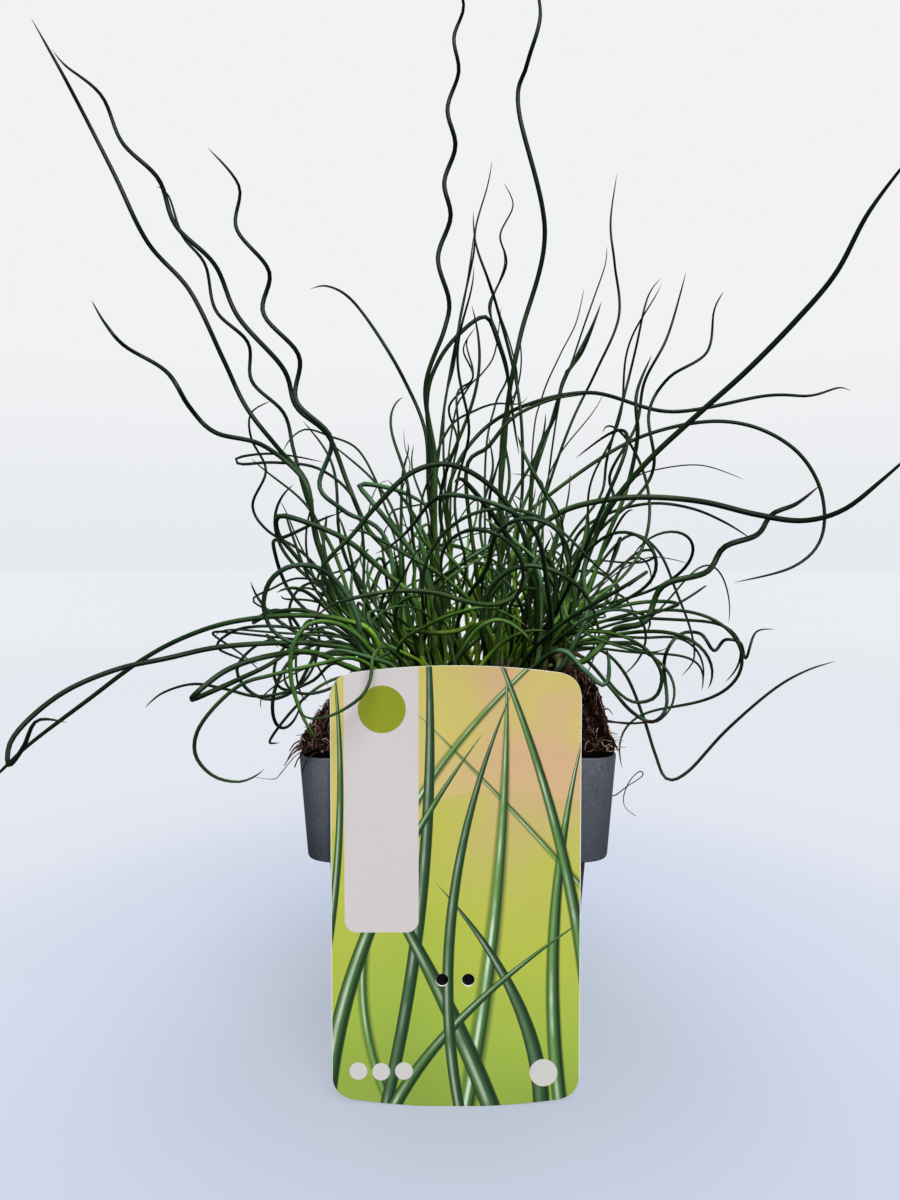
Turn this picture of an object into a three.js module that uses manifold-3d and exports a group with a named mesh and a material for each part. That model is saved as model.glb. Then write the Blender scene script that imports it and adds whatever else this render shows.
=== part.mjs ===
// Corkscrew rush in a square nursery pot, with its plant tag leaning on the rim.
// Millimetres, +Z up. The origin is the middle of the pot's base, on the surface it stands on,
// and the tag stands on the -Y side.
import * as THREE from 'three';
import { mergeVertices } from 'three/addons/utils/BufferGeometryUtils.js';
import Module from 'manifold-3d';

const wasm = await Module();
wasm.setup();

// ---- Driving dimensions ----

const RIM_HALF = 45;
const POT_HEIGHT = 98;
const COLLAR_FOOT_HALF = 43.2;
const COLLAR_FOOT_HEIGHT = 68;
const SHOULDER_HALF = 37.9;
const BASE_HALF = 33.6;
const WALL = 1.2;
const POT_FLOOR = 1.6;
const CORNER_RADIUS = 7;
const DRAIN_RADIUS = 3.5;
const DRAIN_OFFSET = 21;
const SEAT_GAP = 0.35;

const SOIL_EDGE_HEIGHT = 96.5;
const SOIL_RISE = 11;
const SOIL_RISE_TO_RIGHT = 6;
const SOIL_BANK_LEFT = 7;
const SOIL_BANK_RIGHT = 9;

const TAG_X = -0.6;
const TAG_WIDTH = 69.4;
const TAG_LENGTH = 124;
const TAG_THICKNESS = 0.6;
const TAG_CORNER = 7;
const TAG_CROWN = 2.4;
const TAG_FOOT_Y = -49.6;
const TAG_LEAN = 0.038;
const TAG_HOLE_RADIUS = 1.75;
const TAG_HOLES_X = [-3.8, 3.5];
const TAG_HOLES_HEIGHT = 36;

const CROWN_HALF = 14.4;
const CROWN_CORNER = 5;
const CROWN_FOOT_HEIGHT = 84;
const CROWN_ABOVE_SOIL = 3;
const STEM_SINK = 6;
const FOOT_LENGTH = 10;

const TUFTS = [
  { name: 'front_left', x: -9.5, y: -16.5, colour: 0x4f8636 },
  { name: 'front_right', x: 21, y: -16.5, colour: 0x578f38 },
  { name: 'back_left', x: -18, y: 14, colour: 0x3d7034 },
  { name: 'back_right', x: 12.5, y: 14, colour: 0x437a36 },
];
const [FRONT_LEFT, FRONT_RIGHT, BACK_LEFT, BACK_RIGHT] = [0, 1, 2, 3];
const WILD_STEMS_PER_TUFT = 24;
const REACHING_STEMS_PER_BACK_TUFT = 3;

// ---- Solids ----

function toSolid(geometry) {
  const bare = geometry.clone();
  bare.deleteAttribute('normal');
  bare.deleteAttribute('uv');
  const merged = mergeVertices(bare, 1e-4);
  return new wasm.Manifold(new wasm.Mesh({
    numProp: 3,
    vertProperties: new Float32Array(merged.attributes.position.array),
    triVerts: new Uint32Array(merged.index.array),
  }));
}

function toMesh(name, solid, colour, roughness) {
  const cut = solid.getMesh();
  const geometry = new THREE.BufferGeometry();
  geometry.setAttribute('position', new THREE.BufferAttribute(cut.vertProperties, 3));
  geometry.setIndex(new THREE.BufferAttribute(cut.triVerts, 1));
  geometry.computeVertexNormals();
  const mesh = new THREE.Mesh(
    geometry,
    new THREE.MeshStandardMaterial({ color: colour, roughness, metalness: 0 }),
  );
  mesh.name = name;
  return mesh;
}

// A closed skin over rings of equally many points, lowest ring first, each counter-clockwise
// seen from above. A ring of one point closes an end in a cone, any other end gets a fan.
function loft(rings) {
  const closed = [...rings];
  for (const end of [0, rings.length - 1]) {
    const ring = rings[end];
    if (ring.length > 1) {
      const middle = ring.reduce((sum, p) => sum.add(p), new THREE.Vector3());
      const cap = [middle.divideScalar(ring.length)];
      if (end === 0) closed.unshift(cap);
      else closed.push(cap);
    }
  }
  const starts = [];
  const points = [];
  for (const ring of closed) {
    starts.push(points.length);
    points.push(...ring);
  }
  const faces = [];
  for (let r = 0; r + 1 < closed.length; r += 1) {
    const low = closed[r].length;
    const high = closed[r + 1].length;
    const sides = Math.max(low, high);
    for (let i = 0; i < sides; i += 1) {
      const a = starts[r] + (i % low);
      const b = starts[r] + ((i + 1) % low);
      const c = starts[r + 1] + ((i + 1) % high);
      const d = starts[r + 1] + (i % high);
      if (low > 1) faces.push(a, b, c);
      if (high > 1) faces.push(a, c, d);
    }
  }
  const geometry = new THREE.BufferGeometry().setFromPoints(points);
  geometry.setIndex(faces);
  return geometry;
}

// A square ring with rounded corners, 5 points to a corner, at a height or on a height rule.
function squareRing(half, radius, height) {
  const points = [];
  for (let i = 0; i < 20; i += 1) {
    const corner = Math.floor(i / 5);
    const angle = ((corner + (i % 5) / 4) * Math.PI) / 2;
    const side = (corner * Math.PI) / 2 + Math.PI / 4;
    const x = (half - radius) * Math.SQRT2 * Math.cos(side) + radius * Math.cos(angle);
    const y = (half - radius) * Math.SQRT2 * Math.sin(side) + radius * Math.sin(angle);
    const z = typeof height === 'function' ? height(x, y) : height;
    points.push(new THREE.Vector3(x, y, z));
  }
  return points;
}

// ---- Pot: a thin moulded shell with a wide collar on a tapered body ----

function potSolid() {
  const shell = toSolid(loft([
    squareRing(BASE_HALF - 0.8, CORNER_RADIUS, 0),
    squareRing(BASE_HALF, CORNER_RADIUS, 1.2),
    squareRing(SHOULDER_HALF, CORNER_RADIUS, COLLAR_FOOT_HEIGHT - 0.8),
    squareRing(COLLAR_FOOT_HALF - 0.5, CORNER_RADIUS, COLLAR_FOOT_HEIGHT - 0.5),
    squareRing(COLLAR_FOOT_HALF, CORNER_RADIUS, COLLAR_FOOT_HEIGHT + 0.4),
    squareRing(RIM_HALF, CORNER_RADIUS, POT_HEIGHT - 0.7),
    squareRing(RIM_HALF - 0.5, CORNER_RADIUS - 0.4, POT_HEIGHT),
  ]));
  const hollow = toSolid(loft([
    squareRing(BASE_HALF - WALL, CORNER_RADIUS - WALL, POT_FLOOR),
    squareRing(SHOULDER_HALF - WALL, CORNER_RADIUS - WALL, COLLAR_FOOT_HEIGHT + 0.6),
    squareRing(COLLAR_FOOT_HALF - WALL, CORNER_RADIUS - WALL, COLLAR_FOOT_HEIGHT + 1.4),
    squareRing(RIM_HALF - WALL - 0.2, CORNER_RADIUS - WALL, POT_HEIGHT + 0.2),
  ]));
  let pot = shell.subtract(hollow);
  for (const [column, row] of [[-1, -1], [1, -1], [1, 1], [-1, 1], [-1, 0], [1, 0], [0, -1], [0, 1]]) {
    const drain = new THREE.CylinderGeometry(DRAIN_RADIUS, DRAIN_RADIUS, 3 * POT_FLOOR, 10);
    drain.rotateX(Math.PI / 2);
    drain.translate(column * DRAIN_OFFSET, row * DRAIN_OFFSET, 0.4 * POT_FLOOR);
    pot = pot.subtract(toSolid(drain));
  }
  return pot;
}

// ---- Potting mix: fills the pot and stands above the rim, banked up at both sides ----

// Height of the mix over a point: low along the rim, a lumpy mound inside it, and banks at the
// left and the right.
function soilHeight(x, y) {
  const inward = Math.max(0, RIM_HALF - WALL - 0.5 - Math.max(Math.abs(x), Math.abs(y)));
  const aside = Math.min(1, Math.max(0, (Math.abs(x) - 22) / 13));
  const bank = (x > 0 ? SOIL_BANK_RIGHT : SOIL_BANK_LEFT) * aside;
  const rise = SOIL_RISE + (SOIL_RISE_TO_RIGHT * x) / RIM_HALF + bank;
  const lumps = 1.1 * Math.sin(0.31 * x + 1.3) * Math.cos(0.27 * y - 0.6)
    + 0.7 * Math.sin(0.73 * x + 0.57 * y);
  return SOIL_EDGE_HEIGHT
    + rise * (1 - Math.exp(-inward / 3.8))
    + lumps * (1 - Math.exp(-inward / 6));
}

// A tuft's place in plan: a square ring moved there, its height a number or a rule of the place.
function tuftRing({ x, y }, half, height) {
  const rule = typeof height === 'function' ? (u, v) => height(u + x, v + y) : height;
  return squareRing(half, CROWN_CORNER, rule).map((point) => point.add(new THREE.Vector3(x, y, 0)));
}

function soilSolid() {
  const inner = CORNER_RADIUS - WALL - SEAT_GAP;
  const edge = RIM_HALF - WALL - 0.35 - SEAT_GAP;
  const rings = [
    squareRing(BASE_HALF - WALL - SEAT_GAP, inner, POT_FLOOR + SEAT_GAP),
    squareRing(SHOULDER_HALF - WALL - SEAT_GAP, inner, COLLAR_FOOT_HEIGHT + 0.9),
    squareRing(COLLAR_FOOT_HALF - WALL - SEAT_GAP, inner, COLLAR_FOOT_HEIGHT + 1.8),
    squareRing(edge, inner, SOIL_EDGE_HEIGHT - 0.5),
  ];
  for (const inset of [1, 4, 9, 16, 26]) {
    const half = edge - inset;
    rings.push(squareRing(half, Math.min(inner, 0.5 * half), soilHeight));
  }
  let soil = toSolid(loft(rings));
  for (const tuft of TUFTS) {
    soil = soil.subtract(toSolid(loft([
      tuftRing(tuft, CROWN_HALF + SEAT_GAP, CROWN_FOOT_HEIGHT - SEAT_GAP),
      tuftRing(tuft, CROWN_HALF + SEAT_GAP, 2 * POT_HEIGHT),
    ])));
  }
  return soil;
}

// ---- Tag: a flexible printed plastic card, crowned at both ends, with two punched holes ----

function tagOutline() {
  const half = TAG_WIDTH / 2;
  const sweep = TAG_CORNER * 0.45;
  const shape = new THREE.Shape();
  shape.moveTo(-half, TAG_CORNER + TAG_CROWN);
  shape.quadraticCurveTo(-half, TAG_CROWN, -half + TAG_CORNER, TAG_CROWN - 0.25 * sweep);
  shape.quadraticCurveTo(0, -TAG_CROWN * 0.9, half - TAG_CORNER, TAG_CROWN - 0.25 * sweep);
  shape.quadraticCurveTo(half, TAG_CROWN, half, TAG_CORNER + TAG_CROWN);
  shape.lineTo(half, TAG_LENGTH - TAG_CORNER - TAG_CROWN);
  shape.quadraticCurveTo(half, TAG_LENGTH - TAG_CROWN, half - TAG_CORNER, TAG_LENGTH - TAG_CROWN + 0.7);
  shape.quadraticCurveTo(0, TAG_LENGTH + TAG_CROWN * 0.8, -half + TAG_CORNER, TAG_LENGTH - TAG_CROWN + 0.7);
  shape.quadraticCurveTo(-half, TAG_LENGTH - TAG_CROWN, -half, TAG_LENGTH - TAG_CORNER - TAG_CROWN);
  for (const x of TAG_HOLES_X) {
    const hole = new THREE.Path();
    hole.absarc(x, TAG_HOLES_HEIGHT, TAG_HOLE_RADIUS, 0, 2 * Math.PI, true);
    shape.holes.push(hole);
  }
  return shape;
}

function tagSolid() {
  const card = new THREE.ExtrudeGeometry(tagOutline(), {
    depth: TAG_THICKNESS,
    bevelEnabled: false,
    curveSegments: 6,
  });
  card.rotateX(Math.PI / 2 - TAG_LEAN);
  card.translate(TAG_X, TAG_FOOT_Y, 0);
  return toSolid(card);
}

function tagFaceY(z) {
  return TAG_FOOT_Y + z * Math.tan(TAG_LEAN);
}

// ---- Stem routes ----

// Routes that were laid out by eye are pairs x, z on the upright plane y = 0 as it is seen from
// this point in front of the pot. The depths say how far behind that plane the stem runs, from
// its first pair to its last. Each pair is a turn of the corkscrew, and between turns the stem
// swings towards and away from the front.
const EYE = new THREE.Vector3(-2.2, -290, 162);

function placed(x, z, depth) {
  return new THREE.Vector3(x, 0, z).sub(EYE).multiplyScalar(1 - depth / EYE.y).add(EYE);
}

const GUIDED = [
  // Long stems leaning out to the left.
  { tuft: FRONT_LEFT, radius: 0.75, swing: 2, depths: [-6, -8, -12], route: [-36, 136, -45, 157, -48, 176,
    -57, 187, -67, 200, -74, 215, -84, 236, -97, 251, -107, 272, -119, 296, -126, 309, -131, 318] },
  { tuft: BACK_LEFT, radius: 0.8, swing: 2, depths: [4, 6, 4], route: [-20, 148, -29, 162, -35, 176, -41, 191,
    -51, 200, -55, 212, -69, 228, -76, 244, -88, 256, -93, 270, -104, 281, -110, 295, -121, 304, -125, 309] },
  { tuft: BACK_LEFT, radius: 0.65, swing: 2, depths: [10, 18, 16], route: [-38, 150, -47, 168, -52, 186,
    -55, 198, -65, 208, -66, 220, -76, 230, -79, 244, -86, 253, -90, 265, -94, 268] },
  { tuft: FRONT_LEFT, radius: 0.75, swing: 2, depths: [-2, -6, -12], route: [-22, 156, -36, 167, -44, 175,
    -40, 190, -51, 202, -50, 216, -61, 229, -59, 242, -69, 255, -68, 268, -78, 280] },
  { tuft: FRONT_LEFT, radius: 0.75, swing: 3, depths: [-16, -18, -22], route: [-42, 150, -46, 164, -49, 177,
    -62, 188, -77, 192, -85, 200, -92, 211, -105, 219, -111, 226, -115, 233] },
  // Low arches and loops to the left.
  { tuft: FRONT_LEFT, radius: 0.7, swing: 0, depths: [-36, -46, -49], route: [-28, 122, -37, 130, -47, 131,
    -53, 124, -54, 113, -51, 102, -47.5, 95, -44, 89.5] },
  { tuft: FRONT_LEFT, radius: 0.75, swing: 0, depths: [-30, -30, -20, -10], route: [-27, 127, -37, 132,
    -52, 133.5, -72, 131.5, -88, 126.5, -103, 118.5, -120, 106, -140, 91, -152, 80, -158, 76] },
  { tuft: FRONT_LEFT, radius: 0.75, swing: 0, depths: [-30, -40, -60, -75], route: [-30, 120.5, -44, 124,
    -58, 124.5, -78, 123, -94, 119.5, -110, 116, -126, 109.5, -138, 101, -146, 92, -147, 84, -142, 90,
    -137, 99, -126, 98] },
  { tuft: FRONT_LEFT, radius: 0.75, swing: 0, depths: [-34, -46, -46], route: [-31, 122, -31.5, 130, -36, 141,
    -44, 148.5, -53, 149.5, -60, 145, -62.5, 137, -60, 129, -53, 124.5, -45, 125] },
  { tuft: FRONT_LEFT, radius: 0.8, swing: 0, depths: [-28, -38, -26], route: [-13, 136, -24, 148, -35, 157.5,
    -47, 163, -57, 165.5, -57.5, 160, -53, 154, -48, 148, -42, 141] },
  { tuft: FRONT_LEFT, radius: 0.85, swing: 0, depths: [-24, -44, -16], route: [-36, 117, -48, 121.5, -62, 120,
    -74, 116, -82, 110.5, -86.5, 106, -80, 108.5, -70, 113, -60, 118, -51, 125, -44, 131] },
  { tuft: FRONT_LEFT, radius: 0.6, swing: 0, depths: [-38, -46, -40], route: [-32, 119, -45, 117.5,
    -60, 114, -70, 111, -79, 103.5, -85, 95, -85.5, 87, -80, 80.5, -72, 78.5, -66, 80.5, -62, 84] },
  { tuft: FRONT_LEFT, radius: 0.5, swing: 0, depths: [-28, -30, -16], route: [-38, 118, -47, 112, -57, 108,
    -66, 107, -76, 109.5, -86, 111, -96, 108, -102, 103] },
  { tuft: BACK_LEFT, radius: 0.65, swing: 0, depths: [8, 10, 4], route: [-36, 124, -44, 124, -48, 117, -53, 109,
    -61, 106, -68, 109, -71.5, 116, -66, 123, -57, 127] },
  { tuft: BACK_LEFT, radius: 0.5, swing: 0, depths: [6, -10, -4], route: [-30, 140, -30, 156, -33, 171,
    -44, 180.5, -58, 182.5, -69, 182, -70, 184, -61, 185.3, -52, 184.5, -42, 182.5] },
  { tuft: BACK_LEFT, radius: 0.5, swing: 2, depths: [16, 26, 20], route: [-40, 142, -50, 154, -61, 161,
    -65.5, 169, -61, 180, -65.5, 190, -65.5, 198, -59, 202] },
  { tuft: BACK_LEFT, radius: 0.45, swing: 0, depths: [18, 22, 14], route: [-14, 150, -22, 166, -26, 177,
    -32, 187, -41, 191, -48, 193, -53, 190, -56, 185] },
  { tuft: FRONT_LEFT, radius: 0.5, swing: 0, depths: [-14, -24, -14], route: [-38, 128, -48, 129, -62, 130,
    -72, 128.5, -78, 123.5, -72, 120, -64, 117.5] },
  { tuft: BACK_LEFT, radius: 0.42, swing: 0, depths: [24, 16, 6], route: [-36, 140, -50, 145.5, -60, 142,
    -66, 138.5, -60, 135, -50, 133.5] },
  { tuft: FRONT_LEFT, radius: 0.5, swing: 0, depths: [-40, -51, -54], route: [-22, 122.5, -27, 120.5,
    -28, 113, -31, 107, -38, 102, -45, 99.5, -50, 100.5, -53, 105] },
  // Tall stems in the middle.
  { tuft: BACK_LEFT, radius: 0.65, swing: 2, depths: [10, 22, 28], route: [-6, 150, -9, 172, -10, 192, -17, 209,
    -26, 224, -34, 234, -41, 237.5, -46.5, 236.5] },
  { tuft: FRONT_LEFT, radius: 0.75, swing: 1.5, depths: [-6, -6, -14], route: [-5, 140, -7, 162, -7, 184,
    -10, 206, -4, 224, -2.5, 233, -6, 246, -2, 258.5, -4, 269, -0.5, 280, -3, 291, 0.5, 302, -1, 312,
    2, 321, 0, 330, 1.5, 338] },
  { tuft: FRONT_RIGHT, radius: 0.75, swing: 2, depths: [-12, -18, -28], route: [11, 138, 15, 156, 14, 174,
    16, 200, 20, 222, 27.5, 254, 19, 291, 21.5, 304, 25.5, 318, 24, 330, 26, 340] },
  { tuft: BACK_RIGHT, radius: 0.55, swing: 2, depths: [2, 0, -4], route: [19, 150, 21, 176, 19.5, 204,
    12, 233, 6, 250, 5, 262] },
  { tuft: BACK_LEFT, radius: 0.42, swing: 2, depths: [16, 26, 30], route: [-2, 152, -4, 176, -4, 200, -1, 213,
    1, 228, 5, 246, 6, 256, 9.5, 268, 11, 276] },
  { tuft: BACK_RIGHT, radius: 0.42, swing: 3, depths: [10, 18, 20], route: [10, 150, 14, 172, 16, 195, 16, 212,
    10.5, 230, 15.5, 244, 13.5, 253, 17.5, 262, 14.5, 269] },
  { tuft: BACK_LEFT, radius: 0.75, swing: 0, depths: [8, 12, 16, 20], route: [-8, 156, -8, 180, -9.5, 202,
    -6, 214, 1, 223, 9, 228, 13, 220, 16, 210, 18, 196, 20, 184] },
  { tuft: BACK_LEFT, radius: 0.42, swing: 3, depths: [4, 14, 8], route: [-12, 160, -9, 177, 0, 188, -2.5, 200,
    5, 209, 2, 218, 6, 225] },
  { tuft: BACK_RIGHT, radius: 0.5, swing: 0, depths: [20, 26, 22], route: [-4, 168, -7, 182, -2, 194, 5, 198.5,
    12, 201, 20, 201, 23, 204] },
  // Arcs in front of the clump.
  { tuft: FRONT_RIGHT, radius: 0.8, swing: 0, depths: [-26, -34, -40], route: [22, 132, 25, 146, 19, 165,
    9, 176.5, -3, 182, -15, 179, -26, 168.5, -34, 159, -43, 150, -46, 141] },
  { tuft: FRONT_RIGHT, radius: 0.85, swing: 0, depths: [-28, -42, -60], route: [26, 128, 25, 143, 17, 158,
    9.5, 168.5, 2, 177, -1, 176] },
  { tuft: FRONT_RIGHT, radius: 0.75, swing: 0, depths: [-30, -50, -52], route: [30, 130, 32, 145, 27, 153,
    20, 141, 12, 137, 3, 138, -7, 140.8, -18, 141.5, -29, 140, -40, 137, -47, 132] },
  { tuft: FRONT_RIGHT, radius: 0.75, swing: 0, depths: [-34, -44, -38], route: [8.5, 126, 9, 138, 14, 146,
    22, 149.5, 31, 148, 39, 143, 44, 136, 46, 127] },
  { tuft: FRONT_LEFT, radius: 0.55, swing: 0, depths: [-34, -46, -46], route: [-19, 123, -9, 130.5, 1, 134.5,
    10, 136, 18, 133, 25, 128] },
  { tuft: FRONT_RIGHT, radius: 0.85, swing: 0, depths: [-30, -32, -26], route: [31, 120, 30.5, 132, 27, 142,
    24.5, 152, 27, 162] },
  { tuft: FRONT_RIGHT, radius: 0.7, swing: 0, depths: [-40, -46, -44], route: [2, 122, 5, 129, 11, 132,
    18, 131, 25, 125] },
  { tuft: FRONT_LEFT, radius: 0.8, swing: 0, depths: [-30, -34, -24], route: [-7, 122, -7.5, 136, -12, 150,
    -20, 161, -28, 171, -31, 175.5, -22, 174.5, -13, 171, -5, 165] },
  // Long stems and loops to the right.
  { tuft: BACK_RIGHT, radius: 0.85, swing: 0, depths: [-4, -30, -60], route: [38, 138, 42, 152, 49, 168, 61, 183,
    77, 198, 92, 211.5, 107, 227, 119, 241.5, 128, 259, 138, 273, 143, 279] },
  { tuft: BACK_LEFT, radius: 0.65, swing: 2, depths: [-2, 4, 14], route: [-2, 150, -3, 172, 4, 188, 18, 199,
    42, 204.5, 68, 198.5, 98, 203.5, 112, 203.5, 121, 206, 125, 205] },
  { tuft: BACK_RIGHT, radius: 0.65, swing: 0, depths: [10, 12, 0], route: [6, 142, 16, 160, 32, 174, 52, 187.5,
    68, 193.5, 84, 195.5, 98, 192.5, 110, 184.5, 117, 172, 117, 158, 108, 149, 89, 144] },
  { tuft: FRONT_RIGHT, radius: 0.85, swing: 0, depths: [-22, -30, -60], route: [15, 140, 22, 157, 33, 166.5,
    47, 170.5, 62, 171.5, 79, 170, 96, 166, 111, 164, 124, 167.5, 136, 177, 148, 188] },
  { tuft: BACK_RIGHT, radius: 0.55, swing: 0, depths: [6, 2, 8], route: [34, 140, 38, 158, 48, 166, 62, 169.5,
    75, 168, 86, 163.5, 95, 158] },
  { tuft: FRONT_RIGHT, radius: 0.9, swing: 2, depths: [-30, -28, -14], route: [32, 119, 40, 118, 46, 122.5,
    51.5, 129, 61, 131.5, 66.5, 143, 80.5, 147.5, 86, 155.5, 96.5, 159.5, 101, 166, 109, 169.5, 117, 176] },
  { tuft: BACK_RIGHT, radius: 0.55, swing: 0, depths: [4, 6, -8], route: [38, 122, 47, 122, 55, 114, 61, 100,
    65, 88, 69, 79.5, 76, 82, 88, 95.5, 103, 109, 114, 115.5, 125, 119] },
  { tuft: FRONT_RIGHT, radius: 0.55, swing: 4, depths: [-20, -20, -10], route: [42, 119, 50, 110, 57, 102,
    64, 98.5, 68.5, 104, 67.5, 119, 72, 127, 79, 127.5, 83.5, 122, 87, 125.5, 92, 124.5, 94, 119.5,
    97, 128, 104, 129] },
  { tuft: BACK_RIGHT, radius: 0.55, swing: 2, depths: [12, 16, 20], route: [34, 146, 42, 158, 50, 170, 49, 179,
    57, 194, 59.5, 208, 66.5, 222, 72, 242] },
  { tuft: FRONT_RIGHT, radius: 0.55, swing: 3, depths: [-4, 0, 6], route: [38, 148, 46, 161, 58, 172, 63, 182,
    61, 198, 67, 209, 79, 217, 81, 230, 84, 236] },
  { tuft: BACK_RIGHT, radius: 0.5, swing: 2, depths: [18, 26, 30], route: [30, 142, 36, 158, 46, 172, 48, 184,
    53, 203, 56.5, 218, 60, 234, 65, 241] },
  { tuft: FRONT_RIGHT, radius: 0.55, swing: 2, depths: [-4, 4, 10], route: [18, 154, 24, 176, 29, 192, 34, 208,
    42, 224, 46, 234] },
  { tuft: BACK_RIGHT, radius: 0.5, swing: 3, depths: [22, 30, 34], route: [24, 146, 28, 170, 36, 194, 44, 211,
    51, 228, 49.5, 244, 48, 257, 50, 273] },
  { tuft: FRONT_RIGHT, radius: 0.7, swing: 1, depths: [-14, -10, -10], route: [42, 140, 48, 158, 54, 173,
    57.5, 190, 57, 204, 62, 217] },
  { tuft: FRONT_RIGHT, radius: 0.6, swing: 0, depths: [-24, -24, -20], route: [40, 124, 50, 124.5, 60, 123.5,
    66.5, 115, 65, 107, 58, 105, 52, 109, 47, 116] },
  { tuft: BACK_RIGHT, radius: 0.5, swing: 0, depths: [14, 10, 14], route: [38, 136, 46, 150, 56, 159.5, 65, 154,
    71, 141, 76, 128, 77, 119, 72.5, 113] },
  { tuft: FRONT_RIGHT, radius: 0.75, swing: 0, depths: [-38, -50, -50], route: [33, 122, 41, 116, 46, 111.5,
    49, 111, 49.5, 118, 48, 125] },
];

// A smooth curve through evenly numbered values, at a place that counts them.
function through(values, place) {
  const last = values.length - 1;
  const i = Math.min(Math.floor(place), last - 1);
  const t = place - i;
  const a = values[Math.max(i - 1, 0)];
  const b = values[i];
  const c = values[i + 1];
  const d = values[Math.min(i + 2, last)];
  return b + 0.5 * t * (c - a + t * (2 * a - 5 * b + 4 * c - d + t * (3 * (b - c) + d - a)));
}

function between(values, share) {
  const place = share * (values.length - 1);
  const i = Math.min(Math.floor(place), values.length - 2);
  return values[i] + (place - i) * (values[i + 1] - values[i]);
}

const STEP = 2;

// The same line with a point every STEP along it.
function evenly(points) {
  const even = [points[0].clone()];
  let need = STEP;
  for (let i = 1; i < points.length; i += 1) {
    const from = points[i - 1];
    const length = from.distanceTo(points[i]);
    let done = 0;
    while (length - done >= need) {
      done += need;
      even.push(from.clone().lerp(points[i], done / length));
      need = STEP;
    }
    need -= length - done;
  }
  return even;
}

// Where a tuft's stems stand in its crown: any first few of these places are evenly spread.
function rootOf(tuft, index) {
  const room = 2 * (CROWN_HALF - 2);
  const x = TUFTS[tuft].x + room * (((0.5 + 0.7548777 * index) % 1) - 0.5);
  const y = TUFTS[tuft].y + room * (((0.5 + 0.5698403 * index) % 1) - 0.5);
  return new THREE.Vector3(x, y, soilHeight(x, y) + CROWN_ABOVE_SOIL - STEM_SINK);
}

// A guided stem. A push moves it along the lines of sight, more the further it is from its root.
function guidedPath(stem, root, push) {
  const foot = root.clone().setZ(root.z + FOOT_LENGTH);
  const xs = [];
  const zs = [];
  for (const point of [root, foot]) {
    const seen = point.clone().sub(EYE).multiplyScalar(EYE.y / (EYE.y - point.y)).add(EYE);
    xs.push(seen.x);
    zs.push(seen.z);
  }
  for (let i = 0; i < stem.route.length; i += 2) {
    xs.push(stem.route[i]);
    zs.push(stem.route[i + 1]);
  }
  const last = xs.length - 1;
  const points = [];
  for (let n = 0; n <= 12 * last; n += 1) {
    const place = n / 12;
    const free = Math.max(0, (place - 1) / (last - 1));
    const ahead = Math.min(1, Math.max(0, place - 1));
    const laid = between(stem.depths, free) + push * Math.min(1, 3 * free);
    const swung = stem.swing * Math.sin(Math.PI * place) * Math.min(1, 2 * free);
    const depth = root.y + (laid - root.y) * ahead + swung;
    points.push(placed(through(xs, place), through(zs, place), depth));
  }
  return evenly(points);
}

// Park and Miller's generator, one for each try at a stem.
function drawsOf(tuft, index, attempt) {
  let state = 1 + ((tuft * 131 + index) * 103 + attempt * 7919) % 2147483646;
  const draw = () => {
    state = (state * 16807) % 2147483647;
    return state / 2147483647;
  };
  draw();
  draw();
  return draw;
}

// The clump is roughly an egg, and stems that go their own way bend along its outside.
const CLUMP_MIDDLE = new THREE.Vector3(6, 0, 124);
const CLUMP_REACH = new THREE.Vector3(53, 52, 54);
const OUTSIDE_FROM = 0.66;
const STIFFNESS = 0.2;
const CROWNS_MIDDLE_X = 3;

// A stem that goes its own way: it leans, arches over, and winds round that course in long
// turns, in more or less room of its own. The further out it stands, the more it leans, and most
// head to the side that they stand on. A reaching one stays nearer upright, and grows on past
// the outside of the clump.
function wildPath(root, draw, reaching) {
  const aside = (reaching ? 0.8 : 2.6) * (draw() + draw() - 1);
  const right = root.x - CROWNS_MIDDLE_X;
  const heading = Math.atan2(0.6 * root.y, right) + aside;
  const spread = Math.min(1.5, 0.3 + Math.hypot(right, root.y) / 17) * (1 - 0.2 * Math.abs(aside));
  const lean = reaching ? 0.05 + 0.4 * draw() : spread * draw() ** 0.35;
  const arch = reaching ? 0.5 * draw() : 0.1 + 1.2 * draw() ** 2;
  const curl = reaching ? 0.45 : 0.12 + 0.7 * draw() ** 1.5;
  const turn = 38 + 50 * draw();
  const length = reaching ? 75 + 60 * draw() : (55 + 75 * draw()) * (0.88 + 0.25 * lean);
  const room = 0.62 + 0.8 * draw() ** 2;
  const hand = draw() < 0.5 ? -1 : 1;
  let phase = 2 * Math.PI * draw();
  const way = new THREE.Vector3(0, 0, 1);
  const point = root.clone();
  const points = [root.clone()];
  for (let s = 0; s < length; s += STEP) {
    const tilt = Math.min(1, s / FOOT_LENGTH) * lean + (arch * s) / length;
    const round = curl * Math.min(1, Math.max(0, (s - FOOT_LENGTH) / 25));
    phase += (hand * 2 * Math.PI * STEP) / turn;
    const ahead = Math.sin(tilt) + round * Math.cos(phase) * Math.cos(tilt);
    const beside = round * Math.sin(phase);
    const up = Math.cos(tilt) - round * Math.cos(phase) * Math.sin(tilt);
    const aim = new THREE.Vector3(
      ahead * Math.cos(heading) - beside * Math.sin(heading),
      ahead * Math.sin(heading) + beside * Math.cos(heading),
      up,
    ).normalize();
    const place = point.clone().sub(CLUMP_MIDDLE).divide(CLUMP_REACH);
    const outward = place.clone().divide(CLUMP_REACH).normalize();
    const held = reaching ? 0 : 3 * Math.max(0, place.length() / room - OUTSIDE_FROM);
    aim.addScaledVector(outward, -held * (0.2 + Math.max(0, aim.dot(outward))));
    way.lerp(aim, STIFFNESS).normalize();
    point.addScaledVector(way, STEP);
    points.push(point.clone());
  }
  return points;
}

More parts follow.
